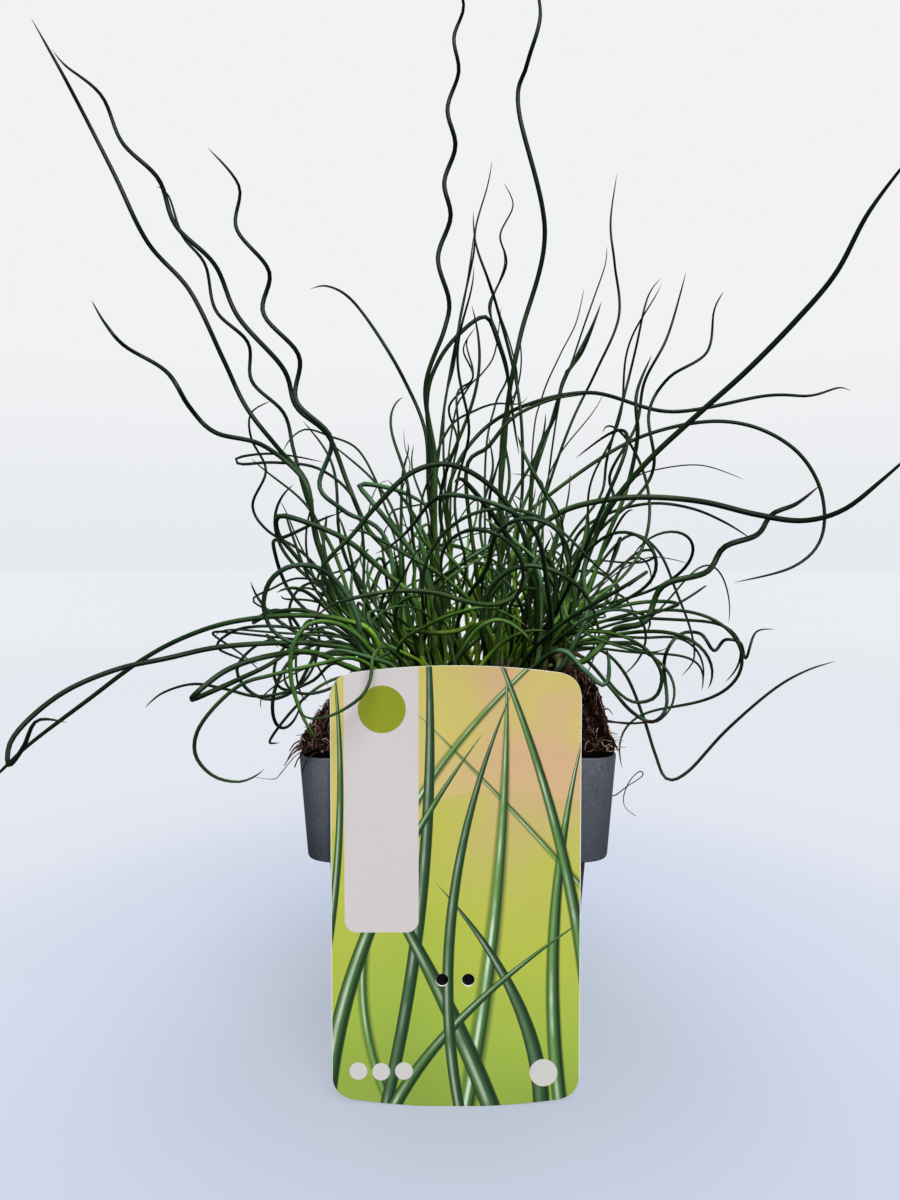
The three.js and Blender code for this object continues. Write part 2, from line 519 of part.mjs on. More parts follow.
// ---- Stem bodies ----

const SIDES = 3;
const FACET_SWELL = 1.22;
const THINNEST = 0.42;
const SHARPEST_BEND = 0.48;
const LONGEST_SPAN = 16;

// Full at the foot, and fine over its last quarter.
function stemRadius(radius, share) {
  const taper = share < 0.75 ? 1.08 - 0.13 * share : 0.982 - 2.6 * (share - 0.75);
  return Math.max(THINNEST, radius * taper * FACET_SWELL);
}

// The places along a path that a faceted stem keeps: after each bend, or a long straight.
function knotsOf(path, radius) {
  const last = path.length - 1;
  const knots = [];
  let bend = 0;
  let span = 0;
  for (let i = 0; i <= last; i += 1) {
    const before = path[Math.max(i - 1, 0)];
    const after = path[Math.min(i + 1, last)];
    const way = after.clone().sub(before).normalize();
    if (i > 0 && i < last) {
      bend += path[i].clone().sub(before).angleTo(after.clone().sub(path[i]));
      span += STEP;
    }
    if (i === 0 || i === last || bend > SHARPEST_BEND || span > LONGEST_SPAN) {
      knots.push({ point: path[i], way, radius: stemRadius(radius, i / last), at: i * STEP });
      bend = 0;
      span = 0;
    }
  }
  return knots;
}

function stemSolid(knots) {
  const rings = [];
  let across = new THREE.Vector3(1, 0, 0);
  for (const { point, way, radius } of knots) {
    across = across.clone().addScaledVector(way, -across.dot(way)).normalize();
    const beside = way.clone().cross(across);
    const ring = [];
    for (let i = 0; i < SIDES; i += 1) {
      const angle = (2 * Math.PI * i) / SIDES;
      ring.push(point.clone()
        .addScaledVector(across, radius * Math.cos(angle))
        .addScaledVector(beside, radius * Math.sin(angle)));
    }
    rings.push(ring);
  }
  rings[rings.length - 1] = [knots[knots.length - 1].point];
  return toSolid(loft(rings));
}

// ---- Keeping stems clear of each other ----

const PROBE = 2.5;
const CLEARANCE = 0.35;
const SAME_TUFT_FREE = 30;

function probesOf(knots, tuft) {
  const probes = [];
  for (let k = 1; k < knots.length; k += 1) {
    const from = knots[k - 1];
    const to = knots[k];
    const count = Math.ceil(from.point.distanceTo(to.point) / PROBE);
    for (let i = 0; i < count; i += 1) {
      const share = i / count;
      const point = from.point.clone().lerp(to.point, share);
      const radius = from.radius + share * (to.radius - from.radius);
      probes.push({ point, radius, tuft, at: from.at + share * (to.at - from.at) });
    }
  }
  return probes;
}

// The stems keep off the mix, the rim, the tag and the ground.
function clearOfPot({ point, radius, at }) {
  const { x, y, z } = point;
  const aside = Math.max(Math.abs(x), Math.abs(y));
  const room = radius + 0.5;
  if (z < room) return false;
  if (at > FOOT_LENGTH && aside < RIM_HALF + room && z < Math.max(POT_HEIGHT, soilHeight(x, y)) + room) {
    return false;
  }
  const besideTag = Math.abs(x - TAG_X) > TAG_WIDTH / 2 + room || z > TAG_LENGTH + TAG_CROWN + room;
  return besideTag || Math.abs(y - tagFaceY(z)) > room + TAG_THICKNESS;
}

// No stem that goes its own way hangs before the tag or low over the rim in front.
function clearOfTag({ point, radius }) {
  return point.y > -42 + radius || Math.abs(point.x) > 46 || point.z > 132;
}

function clearOfStems(probe, standing) {
  for (const other of standing) {
    const near = probe.radius + other.radius + CLEARANCE;
    const root = probe.tuft === other.tuft && (probe.at < SAME_TUFT_FREE || other.at < SAME_TUFT_FREE);
    const limit = near * near + PROBE * PROBE / 2;
    if (!root && probe.point.distanceToSquared(other.point) < limit) return false;
  }
  return true;
}

const TRIES = 90;
const standing = [];
const stems = TUFTS.map(() => []);
const taken = TUFTS.map(() => new Set());

// The first try that stands clear takes its place.
function plant(tuft, radius, tryAt, isFit) {
  for (let attempt = 0; attempt < TRIES; attempt += 1) {
    const { place, path } = tryAt(attempt);
    const knots = knotsOf(path, radius);
    const probes = probesOf(knots, tuft);
    if (probes.every((probe) => isFit(probe) && clearOfStems(probe, standing))) {
      standing.push(...probes);
      stems[tuft].push(knots);
      taken[tuft].add(place);
      return;
    }
  }
}

const PLACES = 50;
const ROOTS_TRIED = 6;

// A guided stem stands in one of the free places nearest to where its route begins. Each round of
// tries pushes it further, by turns back and forward.
for (const stem of GUIDED) {
  const start = placed(stem.route[0], stem.route[1], stem.depths[0]);
  const places = [...Array(PLACES).keys()]
    .filter((place) => !taken[stem.tuft].has(place))
    .map((place) => {
      const root = rootOf(stem.tuft, place);
      return { place, away: Math.hypot(root.x - start.x, root.y - start.y) };
    })
    .sort((one, other) => one.away - other.away);
  plant(stem.tuft, stem.radius, (attempt) => {
    const round = Math.floor(attempt / ROOTS_TRIED);
    const push = 2 * Math.ceil(round / 2) * (round % 2 ? 1 : -1);
    const { place } = places[attempt % ROOTS_TRIED];
    return { place, path: guidedPath(stem, rootOf(stem.tuft, place), push) };
  }, clearOfPot);
}

for (let index = 0; index < WILD_STEMS_PER_TUFT; index += 1) {
  TUFTS.forEach(({ y }, tuft) => {
    const reaching = y > 0 && index < REACHING_STEMS_PER_BACK_TUFT;
    const free = [...Array(PLACES).keys()].filter((place) => !taken[tuft].has(place));
    const radius = 0.42 + 0.26 * drawsOf(tuft, index, 0)();
    plant(tuft, radius, (attempt) => {
      const place = free[(3 * index + attempt) % free.length];
      return { place, path: wildPath(rootOf(tuft, place), drawsOf(tuft, index, attempt), reaching) };
    }, (probe) => clearOfPot(probe) && clearOfTag(probe));
  });
}

// ---- Tufts: a knotty crown in its hole in the mix, with its stems grown out of it ----

function tuftSolid(index) {
  const tuft = TUFTS[index];
  const above = (rise) => (x, y) => soilHeight(x, y) + rise;
  let solid = toSolid(loft([
    tuftRing(tuft, CROWN_HALF, CROWN_FOOT_HEIGHT),
    tuftRing(tuft, CROWN_HALF, above(CROWN_ABOVE_SOIL - 2.5)),
    tuftRing(tuft, CROWN_HALF - 2.5, above(CROWN_ABOVE_SOIL - 0.5)),
    tuftRing(tuft, CROWN_HALF - 7, above(CROWN_ABOVE_SOIL)),
  ]));
  for (const knots of stems[index]) {
    solid = solid.add(stemSolid(knots));
  }
  return solid;
}

// ---- The object ----

const rush = new THREE.Group();
rush.add(toMesh('pot', potSolid(), 0x555b66, 0.6));
rush.add(toMesh('soil', soilSolid(), 0x3a281d, 0.95));
rush.add(toMesh('label', tagSolid(), 0xc9c35a, 0.4));
TUFTS.forEach(({ name, colour }, index) => {
  rush.add(toMesh(`tuft_${name}`, tuftSolid(index), colour, 0.5));
});

export default rush;
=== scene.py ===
import math

import bmesh
import bpy
import numpy as np
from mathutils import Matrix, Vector, noise


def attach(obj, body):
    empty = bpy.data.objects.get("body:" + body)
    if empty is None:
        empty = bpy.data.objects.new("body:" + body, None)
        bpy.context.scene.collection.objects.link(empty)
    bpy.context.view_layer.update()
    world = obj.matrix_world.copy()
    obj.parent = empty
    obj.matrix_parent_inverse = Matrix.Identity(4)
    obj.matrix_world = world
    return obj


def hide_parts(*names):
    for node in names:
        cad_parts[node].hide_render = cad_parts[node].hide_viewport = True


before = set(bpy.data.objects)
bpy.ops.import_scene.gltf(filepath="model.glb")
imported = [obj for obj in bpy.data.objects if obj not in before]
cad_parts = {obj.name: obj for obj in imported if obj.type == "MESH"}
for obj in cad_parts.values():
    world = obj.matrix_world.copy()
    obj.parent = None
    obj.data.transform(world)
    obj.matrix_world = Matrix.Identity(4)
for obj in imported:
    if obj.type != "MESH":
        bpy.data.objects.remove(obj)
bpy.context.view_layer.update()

# ---- Pot ----
# A square 9 cm nursery pot, injection-moulded in blue-grey polypropylene with a finely grained
# skin. A wide collar stands out round a body that tapers to a base with eight drain holes.

MM = 0.001
RIM_HALF = 45
POT_HEIGHT = 98
COLLAR_FOOT_HALF = 43.2
COLLAR_FOOT_HEIGHT = 68
SHOULDER_HALF = 37.9
BASE_HALF = 33.6
WALL = 1.2
POT_FLOOR = 1.6
CORNER_RADIUS = 7
CORNER_POINTS = 12
DRAIN_RADIUS = 3.5
DRILL_LENGTH = 6
DRAIN_OFFSET = 21
DRAINS = [(-1, -1), (1, -1), (1, 1), (-1, 1), (-1, 0), (1, 0), (0, -1), (0, 1)]


def feed(tree, inputs, values):
    """Gives a node's inputs their values, or the sockets that drive them."""
    for name, value in values.items():
        if isinstance(value, bpy.types.NodeSocket):
            tree.links.new(value, inputs[name])
        else:
            inputs[name].default_value = value


def node(tree, kind, inputs=None, **settings):
    """A node with its settings and inputs."""
    made = tree.nodes.new(kind)
    for name, value in settings.items():
        setattr(made, name, value)
    feed(tree, made.inputs, inputs or {})
    return made


def math_of(tree, operation, *values):
    """The result socket of a Math node on one to three numbers or sockets."""
    return node(tree, "ShaderNodeMath", dict(enumerate(values)), operation=operation).outputs[0]


def part_of(tree, vector, axis):
    """One coordinate of a vector socket."""
    return node(tree, "ShaderNodeSeparateXYZ", {0: vector}).outputs[axis]


def place_on(tree):
    """The place of a point on its piece, in metres."""
    return node(tree, "ShaderNodeTexCoord").outputs["Object"]


def mixed(tree, share, first, second):
    """The colour that a share from 0 to 1 makes of two colours or colour sockets."""
    mix = node(tree, "ShaderNodeMix", {0: share, 6: first, 7: second}, data_type="RGBA")
    return mix.outputs[2]


def blended(tree, share, *stops):
    """The colour of a ramp through (place, red, green, blue) stops."""
    ramp = node(tree, "ShaderNodeValToRGB", {0: share})
    colours = ramp.color_ramp.elements
    while len(colours) < len(stops):
        colours.new(0.5)
    for element, (place, *colour) in zip(colours, stops):
        element.position = place
        element.color = (*colour, 1)
    return ramp.outputs[0]


def noise_of(tree, place, scale, detail=3, roughness=0.5, distortion=0):
    """The value of a noise texture, about 0.5 on average."""
    inputs = {"Vector": place, "Scale": scale, "Detail": detail, "Roughness": roughness,
              "Distortion": distortion}
    return node(tree, "ShaderNodeTexNoise", inputs).outputs["Fac"]


def ranged(tree, value, low, high, to_low=0.0, to_high=1.0, smooth=False):
    """A value mapped from one range to another, and held inside it."""
    inputs = {"Value": value, "From Min": low, "From Max": high, "To Min": to_low, "To Max": to_high}
    kind = "SMOOTHSTEP" if smooth else "LINEAR"
    return node(tree, "ShaderNodeMapRange", inputs, interpolation_type=kind).outputs[0]


def bumped(tree, height, distance, strength=1.0, under=None):
    """The normal of a surface with that relief, distance high in metres, over another one."""
    inputs = {"Height": height, "Distance": distance, "Strength": strength}
    if under is not None:
        inputs["Normal"] = under
    return node(tree, "ShaderNodeBump", inputs).outputs[0]


def new_material(name):
    """A material with its Principled shader: (material, node tree, shader's inputs)."""
    material = bpy.data.materials.new(name)
    material.use_nodes = True
    tree = material.node_tree
    return material, tree, tree.nodes["Principled BSDF"].inputs


def new_group(name, kind, inputs, outputs):
    """A node group with sockets of the kinds given by name: (group, its inputs)."""
    tree = bpy.data.node_groups.new(name, kind)
    for way, sockets in (("INPUT", inputs), ("OUTPUT", outputs)):
        for label, socket in sockets.items():
            tree.interface.new_socket(label, in_out=way, socket_type="NodeSocket" + socket)
    return tree, tree.nodes.new("NodeGroupInput").outputs


def in_scene(name, data):
    """An object in the scene, with that data."""
    made = bpy.data.objects.new(name, data)
    bpy.context.scene.collection.objects.link(made)
    return made


def mesh_object(name, points, faces, material):
    """A smooth object of points in millimetres and faces."""
    mesh = bpy.data.meshes.new(name)
    mesh.from_pydata([[c * MM for c in point] for point in points], [], faces)
    mesh.polygons.foreach_set("use_smooth", [True] * len(mesh.polygons))
    mesh.materials.append(material)
    return in_scene(name, mesh)


def applied(made):
    """Turns an object's modifiers into plain mesh."""
    depsgraph = bpy.context.evaluated_depsgraph_get()
    mesh = bpy.data.meshes.new_from_object(made.evaluated_get(depsgraph))
    made.modifiers.clear()
    made.data = mesh
    return made


def belongs(piece, slot, *replaced):
    """Fixes a piece to the object and hides the CAD nodes that it stands for. The slot is not used."""
    piece.data.name = piece.name
    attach(piece, "root")
    if replaced:
        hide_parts(*replaced)


def square_ring(half, radius, corner_points):
    """Points x, y of a square with rounded corners, counter-clockwise from above."""
    ring = []
    inset = (half - radius) * math.sqrt(2)
    for i in range(4 * corner_points):
        corner, step = divmod(i, corner_points)
        angle = (corner + step / (corner_points - 1)) * math.pi / 2
        side = corner * math.pi / 2 + math.pi / 4
        ring.append((
            inset * math.cos(side) + radius * math.cos(angle),
            inset * math.sin(side) + radius * math.sin(angle),
        ))
    return ring


def skin(rings):
    """Points and faces of a skin over rings of equally many points, with a flat cap at both ends."""
    count = len(rings[0])
    points = [point for ring in rings for point in ring]
    faces = []
    for r in range(len(rings) - 1):
        for i in range(count):
            j = (i + 1) % count
            faces.append((r * count + i, r * count + j, (r + 1) * count + j, (r + 1) * count + i))
    faces.append(tuple(range(count - 1, -1, -1)))
    faces.append(tuple(range(len(points) - count, len(points))))
    return points, faces


def grain_group():
    """The fine grain of a moulded or printed plastic skin: a height and a blotch mask."""
    tree, given = new_group(
        "plastic grain", "ShaderNodeTree",
        {"Grain Size": "Float", "Blotch Size": "Float"}, {"Height": "Float", "Blotches": "Float"},
    )
    place = place_on(tree)
    height = noise_of(tree, place, math_of(tree, "DIVIDE", 1, given["Grain Size"]), 2, 0.6)
    blotches = noise_of(tree, place, math_of(tree, "DIVIDE", 1, given["Blotch Size"]), 4, 0.6)
    node(tree, "NodeGroupOutput", {"Height": height, "Blotches": blotches})
    return tree


GRAIN = grain_group()


def grain_of(tree, grain_size, blotch_size):
    """The outputs of the plastic grain, with its sizes in metres."""
    sizes = {"Grain Size": grain_size, "Blotch Size": blotch_size}
    return node(tree, "ShaderNodeGroup", sizes, node_tree=GRAIN).outputs


def pot_plastic():
    material, tree, shader = new_material("blue_grey_pot_plastic")
    grain = grain_of(tree, 0.0006, 0.016)
    place = place_on(tree)
    flow = node(tree, "ShaderNodeMapping", {"Vector": place, "Scale": (260, 260, 18)}).outputs[0]
    brushed = noise_of(tree, flow, 1, 3)
    plain = blended(tree, grain["Blotches"], (0.3, 0.038, 0.044, 0.059), (0.7, 0.058, 0.067, 0.089))
    speckled = mixed(tree, ranged(tree, grain["Height"], 0.4, 0.8), plain, (0.085, 0.096, 0.12, 1))
    by_rim = ranged(tree, part_of(tree, place, "Z"), 0.08, 0.098, smooth=True)
    dust = ranged(tree, noise_of(tree, place, 420, 4, 0.7), 0.56, 0.66)
    dusty = math_of(tree, "MULTIPLY", math_of(tree, "MULTIPLY", by_rim, dust), 0.75)
    feed(tree, shader, {
        "Base Color": mixed(tree, dusty, speckled, (0.045, 0.028, 0.018, 1)),
        "Roughness": ranged(tree, brushed, 0.3, 0.7, 0.46, 0.62),
        "Specular IOR Level": 0.4,
        "Normal": bumped(tree, grain["Height"], 0.00012, 0.5),
    })
    return material


def make_pot():
    """The shell, with rings of (half width, corner radius, height) up its outside and down its inside."""
    outside = [
        (BASE_HALF - 0.8, CORNER_RADIUS, 0),
        (BASE_HALF - 0.3, CORNER_RADIUS, 0.25),
        (BASE_HALF, CORNER_RADIUS, 1.2),
        (SHOULDER_HALF, CORNER_RADIUS, COLLAR_FOOT_HEIGHT - 1.0),
        (SHOULDER_HALF + 0.3, CORNER_RADIUS, COLLAR_FOOT_HEIGHT - 0.6),
        (COLLAR_FOOT_HALF - 0.7, CORNER_RADIUS, COLLAR_FOOT_HEIGHT - 0.5),
        (COLLAR_FOOT_HALF - 0.2, CORNER_RADIUS, COLLAR_FOOT_HEIGHT - 0.2),
        (COLLAR_FOOT_HALF, CORNER_RADIUS, COLLAR_FOOT_HEIGHT + 0.4),
        (RIM_HALF, CORNER_RADIUS, POT_HEIGHT - 0.35),
        (RIM_HALF - 0.15, CORNER_RADIUS - 0.1, POT_HEIGHT - 0.08),
        (RIM_HALF - 0.4, CORNER_RADIUS - 0.3, POT_HEIGHT),
    ]
    inner_radius = CORNER_RADIUS - WALL
    inside = [
        (RIM_HALF - 0.9, inner_radius + 0.6, POT_HEIGHT),
        (RIM_HALF - WALL, inner_radius + 0.3, POT_HEIGHT - 0.3),
        (COLLAR_FOOT_HALF - WALL, inner_radius, COLLAR_FOOT_HEIGHT + 1.4),
        (SHOULDER_HALF - WALL, inner_radius, COLLAR_FOOT_HEIGHT + 0.6),
        (BASE_HALF - WALL, inner_radius, POT_FLOOR),
    ]
    rings = [
        [(x, y, z) for x, y in square_ring(half, radius, CORNER_POINTS)]
        for half, radius, z in outside + inside
    ]
    pot = mesh_object("pot_shell", *skin(rings), pot_plastic())
    drills = bmesh.new()
    for column, row in DRAINS:
        drill = bmesh.ops.create_cone(
            drills, cap_ends=True, segments=32, depth=DRILL_LENGTH * MM,
            radius1=DRAIN_RADIUS * MM, radius2=DRAIN_RADIUS * MM,
        )
        place = (column * DRAIN_OFFSET * MM, row * DRAIN_OFFSET * MM, 0)
        bmesh.ops.translate(drills, verts=drill["verts"], vec=place)
    cutter = in_scene("drains", bpy.data.meshes.new("drains"))
    drills.to_mesh(cutter.data)
    drills.free()
    cut = pot.modifiers.new("drains", "BOOLEAN")
    cut.object = cutter
    cut.solver = "EXACT"
    applied(pot)
    bpy.data.objects.remove(cutter)
    pot.data.set_sharp_from_angle(angle=math.radians(40))
    return pot


belongs(make_pot(), "pot_plastic", "pot")


# ---- Potting mix ----
# Coir and peat round the root ball, dark brown and moist. It was pressed in by hand: it laps a
# little over the rim, lies mounded and lumpy inside it, and banks up at the left and the right.

SEAT_GAP = 0.35
SOIL_EDGE_HEIGHT = 96.5
SOIL_RISE = 11
SOIL_RISE_TO_RIGHT = 6
SOIL_BANK_LEFT = 7
SOIL_BANK_RIGHT = 9
SOIL_TOP = 125
SOIL_CORNER_POINTS = 48
SOIL_RING_STEP = 0.7


def held(value):
    """A value held between 0 and 1."""
    return min(1, max(0, value))


def soil_height(x, y):
    """Height of the mix over a point, without its clods."""
    inward = max(0, RIM_HALF - WALL - 0.5 - max(abs(x), abs(y)))
    bank = (SOIL_BANK_RIGHT if x > 0 else SOIL_BANK_LEFT) * held((abs(x) - 22) / 13)
    rise = SOIL_RISE + (SOIL_RISE_TO_RIGHT * x) / RIM_HALF + bank
    lumps = 1.1 * math.sin(0.31 * x + 1.3) * math.cos(0.27 * y - 0.6) + 0.7 * math.sin(0.73 * x + 0.57 * y)
    return SOIL_EDGE_HEIGHT + rise * (1 - math.exp(-inward / 3.8)) + lumps * (1 - math.exp(-inward / 6))


def clod_height(x, y):
    """Height of the mix over a point, with its clods and crumbs and the lip that it laps over the rim."""
    inward = RIM_HALF - max(abs(x), abs(y))
    clods = 3.8 * noise.fractal(Vector((x, y, 7)) * 0.15, 0.7, 2.1, 4)
    crumbs = 1.4 * noise.fractal(Vector((x, y, 31)) * 0.55, 0.8, 2.0, 3)
    heap = 3.4 * math.exp(-inward / 6) * held((abs(x) - 24) / 12)
    lip = POT_HEIGHT + 2.6 * (1 - math.exp(-max(0, inward) / 1.1))
    height = max(soil_height(x, y), lip) + heap * min(1, inward / 1.5)
    return max(POT_HEIGHT + 0.3, height + (clods + crumbs) * held(inward / 3))


def mix_of_coir():
    material, tree, shader = new_material("moist_coir_mix")
    place = place_on(tree)
    crumbs = noise_of(tree, place, 700, 5, 0.65)
    threads = noise_of(tree, place, 1500, 4, 0.7, 1.5)
    ground = blended(tree, crumbs, (0.35, 0.0012, 0.0008, 0.0007), (0.56, 0.005, 0.0027, 0.002),
                     (0.75, 0.024, 0.012, 0.009))
    feed(tree, shader, {
        "Base Color": mixed(tree, ranged(tree, threads, 0.6, 0.74), ground, (0.055, 0.025, 0.017, 1)),
        "Roughness": 0.92,
        "Specular IOR Level": 0.03,
        "Normal": bumped(tree, threads, 0.0006, 0.8, bumped(tree, crumbs, 0.0015, 0.9)),
    })
    return material


def make_soil():
    """The root ball, with rings up its sides to the rim, and then inwards over its top."""
    gap = WALL + SEAT_GAP
    side = [
        (BASE_HALF - gap, POT_FLOOR + SEAT_GAP),
        (SHOULDER_HALF - gap, COLLAR_FOOT_HEIGHT + 0.9),
        (COLLAR_FOOT_HALF - gap, COLLAR_FOOT_HEIGHT + 1.8),
        (RIM_HALF - gap - 0.35, POT_HEIGHT + 0.1),
    ]
    rings = [
        [(x, y, z) for x, y in square_ring(half, CORNER_RADIUS - gap, SOIL_CORNER_POINTS)]
        for half, z in side
    ]
    lip = square_ring(RIM_HALF - 0.6, 6.4, SOIL_CORNER_POINTS)
    rings.append([(x, y, POT_HEIGHT + 0.1) for x, y in lip])
    for inset in np.arange(0.5, RIM_HALF - 1, SOIL_RING_STEP):
        half = RIM_HALF - inset
        ring = square_ring(half, min(6.5, 0.5 * half), SOIL_CORNER_POINTS)
        rings.append([(x, y, clod_height(x, y)) for x, y in ring])
    return mesh_object("potting_mix", *skin(rings), mix_of_coir())


SOIL = make_soil()
belongs(SOIL, "potting_mix", "soil")


# ---- Coir fibres on the mix ----
# Loose coconut fibres and chopped straw in the surface of the mix, dry strands from 2 to 7 mm
# long. Most lie flat or across a slope, some stand up, and a few hang a little over the rim.

def realized(tree, geometry, finish):
    """The geometry as plain mesh with that material: how every tree here ends."""
    real = node(tree, "GeometryNodeRealizeInstances", {"Geometry": geometry}).outputs[0]
    return node(tree, "GeometryNodeSetMaterial", {"Geometry": real, "Material": finish}).outputs[0]


def tubes_group():
    """Tubes along the edges of a mesh of lines, as thick as its radius attribute."""
    tree, given = new_group(
        "tubes on lines", "GeometryNodeTree",
        {"Lines": "Geometry", "Sides": "Int", "Finish": "Material"}, {"Tubes": "Geometry"},
    )
    radius = node(tree, "GeometryNodeInputNamedAttribute", {"Name": "radius"}).outputs["Attribute"]
    curves = node(tree, "GeometryNodeMeshToCurve", {"Mesh": given["Lines"]}).outputs[0]
    circle = node(tree, "GeometryNodeCurvePrimitiveCircle", {"Resolution": given["Sides"], "Radius": 1.0})
    around = node(tree, "GeometryNodeStoreNamedAttribute", {
        "Geometry": circle.outputs["Curve"],
        "Name": "section",
        "Value": node(tree, "GeometryNodeInputPosition").outputs[0],
    }, data_type="FLOAT_VECTOR")
    body = node(tree, "GeometryNodeCurveToMesh", {
        "Curve": curves,
        "Profile Curve": around.outputs[0],
        "Scale": radius,
        "Fill Caps": True,
    })
    smooth = node(tree, "GeometryNodeSetShadeSmooth", {"Geometry": body.outputs[0]}).outputs[0]
    node(tree, "NodeGroupOutput", {"Tubes": realized(tree, smooth, given["Finish"])})
    return tree


TUBES = tubes_group()


def with_nodes(made, tree, **inputs):
    """Runs a Geometry Nodes tree on an object and keeps its result as plain mesh."""
    modifier = made.modifiers.new(tree.name, "NODES")
    modifier.node_group = tree
    for item in tree.interface.items_tree:
        key = item.name.replace(" ", "_")
        if item.in_out == "INPUT" and key in inputs:
            modifier[item.identifier] = inputs[key]
    return applied(made)


def tubes(name, lines, sides, material):
    """One object of tubes. Each line is (points, radii, tone), in millimetres."""
    points = np.concatenate([line[0] for line in lines]) * MM
    edges = []
    start = 0
    for line in lines:
        end = start + len(line[0])
        edges += [(i, i + 1) for i in range(start, end - 1)]
        start = end
    mesh = bpy.data.meshes.new(name)
    mesh.from_pydata(points, edges, [])
    values = {
        "radius": np.concatenate([line[1] for line in lines]) * MM,
        "along": np.concatenate([np.linspace(0, 1, len(line[0])) for line in lines]),
        "tone": np.concatenate([np.full(len(line[0]), line[2]) for line in lines]),
    }
    for key, value in values.items():
        mesh.attributes.new(key, "FLOAT", "POINT").data.foreach_set("value", value)
    return with_nodes(in_scene(name, mesh), TUBES, Sides=sides, Finish=material)


def attribute(tree, name):
    """The number that a tube or a crumb carries under that name."""
    return node(tree, "ShaderNodeAttribute", attribute_name=name).outputs["Fac"]


def loose_litter(name, stops, roughness, gloss, relief, strength):
    """A dry finish that a tone on each strand or crumb makes darker or lighter."""
    material, tree, shader = new_material(name)
    patches = noise_of(tree, place_on(tree), 900, 3)
    tone = math_of(tree, "ADD", attribute(tree, "tone"), math_of(tree, "MULTIPLY", patches, 0.3))
    feed(tree, shader, {
        "Base Color": blended(tree, math_of(tree, "SUBTRACT", tone, 0.15), *stops),
        "Roughness": roughness,
        "Specular IOR Level": gloss,
        "Normal": bumped(tree, patches, relief, strength),
    })
    return material


FIBRE_COLOURS = [
    (0.0, 0.004, 0.002, 0.0016),
    (0.45, 0.02, 0.009, 0.007),
    (0.75, 0.1, 0.048, 0.037),
    (1.0, 0.42, 0.27, 0.21),
]
DRY_FIBRE = loose_litter("dry_coir_fibre", FIBRE_COLOURS, 0.8, 0.08, 0.0002, 0.6)
FIBRE_POINTS = 5
FIBRE_SIDES = 3
FIBRE_COUNT = 7300
HANGING_FIBRE_COUNT = 70


def slope_at(x, y, way):
    """How steeply the mix rises over a point, in the way that an angle gives."""
    step = 0.5 * np.array([math.cos(way), math.sin(way)])
    return clod_height(x + step[0], y + step[1]) - clod_height(x - step[0], y - step[1])


def fibre(draws):
    """A bent strand on the mix, most often along the rim, that lies across a slope more than down it."""
    most = RIM_HALF - 0.4
    x, y = draws.uniform(-most, most, 2)
    if draws.uniform() < 0.8:
        x, y = draws.permutation([draws.choice([-1, 1]) * draws.uniform(30, most), y])
    heading = math.atan2(slope_at(x, y, 0), -slope_at(x, y, math.pi / 2)) + draws.normal(0, 0.8)
    stride = draws.uniform(3, 9) / FIBRE_POINTS
    lift = draws.choice([0, 0.4, 1.2, 2.6], p=[0.35, 0.35, 0.22, 0.08])
    swerve = draws.normal(0, 0.45)
    points = []
    for i in range(FIBRE_POINTS):
        points.append((x, y, clod_height(x, y) + 0.1 + lift * (i / FIBRE_POINTS) ** 1.6))
        step = stride / math.hypot(1, slope_at(x, y, heading))
        x = min(most, max(-most, x + step * math.cos(heading)))
        y = min(most, max(-most, y + step * math.sin(heading)))
        heading += swerve + draws.normal(0, 0.3)
    thick = 0.07 + 0.17 * draws.uniform() ** 2
    return np.array(points), thick * np.linspace(1, 0.45, FIBRE_POINTS), draws.uniform() ** 1.2


def hanging_fibre(draws):
    """A strand that hangs over the rim at the left, the back or the right."""
    along = draws.uniform(-38, 41)
    side = draws.choice(3, p=[0.3, 0.2, 0.5])
    out = RIM_HALF - 3 + draws.uniform(3, 6) * np.linspace(0, 1, FIBRE_POINTS)
    drift = along + draws.normal(0, 3) * np.linspace(0, 1, FIBRE_POINTS)
    x, y = [(-out, drift), (drift, out), (out, drift)][side]
    lift = draws.uniform(0.2, 2.5) * np.sin(np.linspace(0, draws.uniform(1.5, 3), FIBRE_POINTS))
    rise = lift + [max(POT_HEIGHT + 0.8, clod_height(u, v) + 0.3) for u, v in zip(x, y)]
    thick = draws.uniform(0.1, 0.32)
    return np.stack([x, y, rise], axis=1), thick * np.linspace(1, 0.35, FIBRE_POINTS), draws.uniform()


def make_fibres():
    draws = np.random.default_rng(41)
    strands = [fibre(draws) for _ in range(FIBRE_COUNT)]
    strands += [hanging_fibre(draws) for _ in range(HANGING_FIBRE_COUNT)]
    return tubes("coir_fibres", strands, FIBRE_SIDES, DRY_FIBRE)


belongs(make_fibres(), "potting_mix")


# ---- Crumbs on the mix ----
# Peat crumbs and bits of bark, up to 3 mm across, dry and near black. They lie loose on the
# surface of the mix.

def vector_of(tree, operation, *values):
    """The result socket of a Vector Math node on one to three vectors or sockets."""
    return node(tree, "ShaderNodeVectorMath", dict(enumerate(values)), operation=operation).outputs[0]


def scaled(tree, vector, factor):
    """A vector socket times a number or a socket."""
    return node(tree, "ShaderNodeVectorMath", {0: vector, "Scale": factor}, operation="SCALE").outputs[0]


def random_of(tree, kind, first, low, high):
    """A random value between two, for each crumb. The first of the node's inputs goes by kind."""
    return node(tree, "FunctionNodeRandomValue", {first: low, first + 1: high}, data_type=kind)


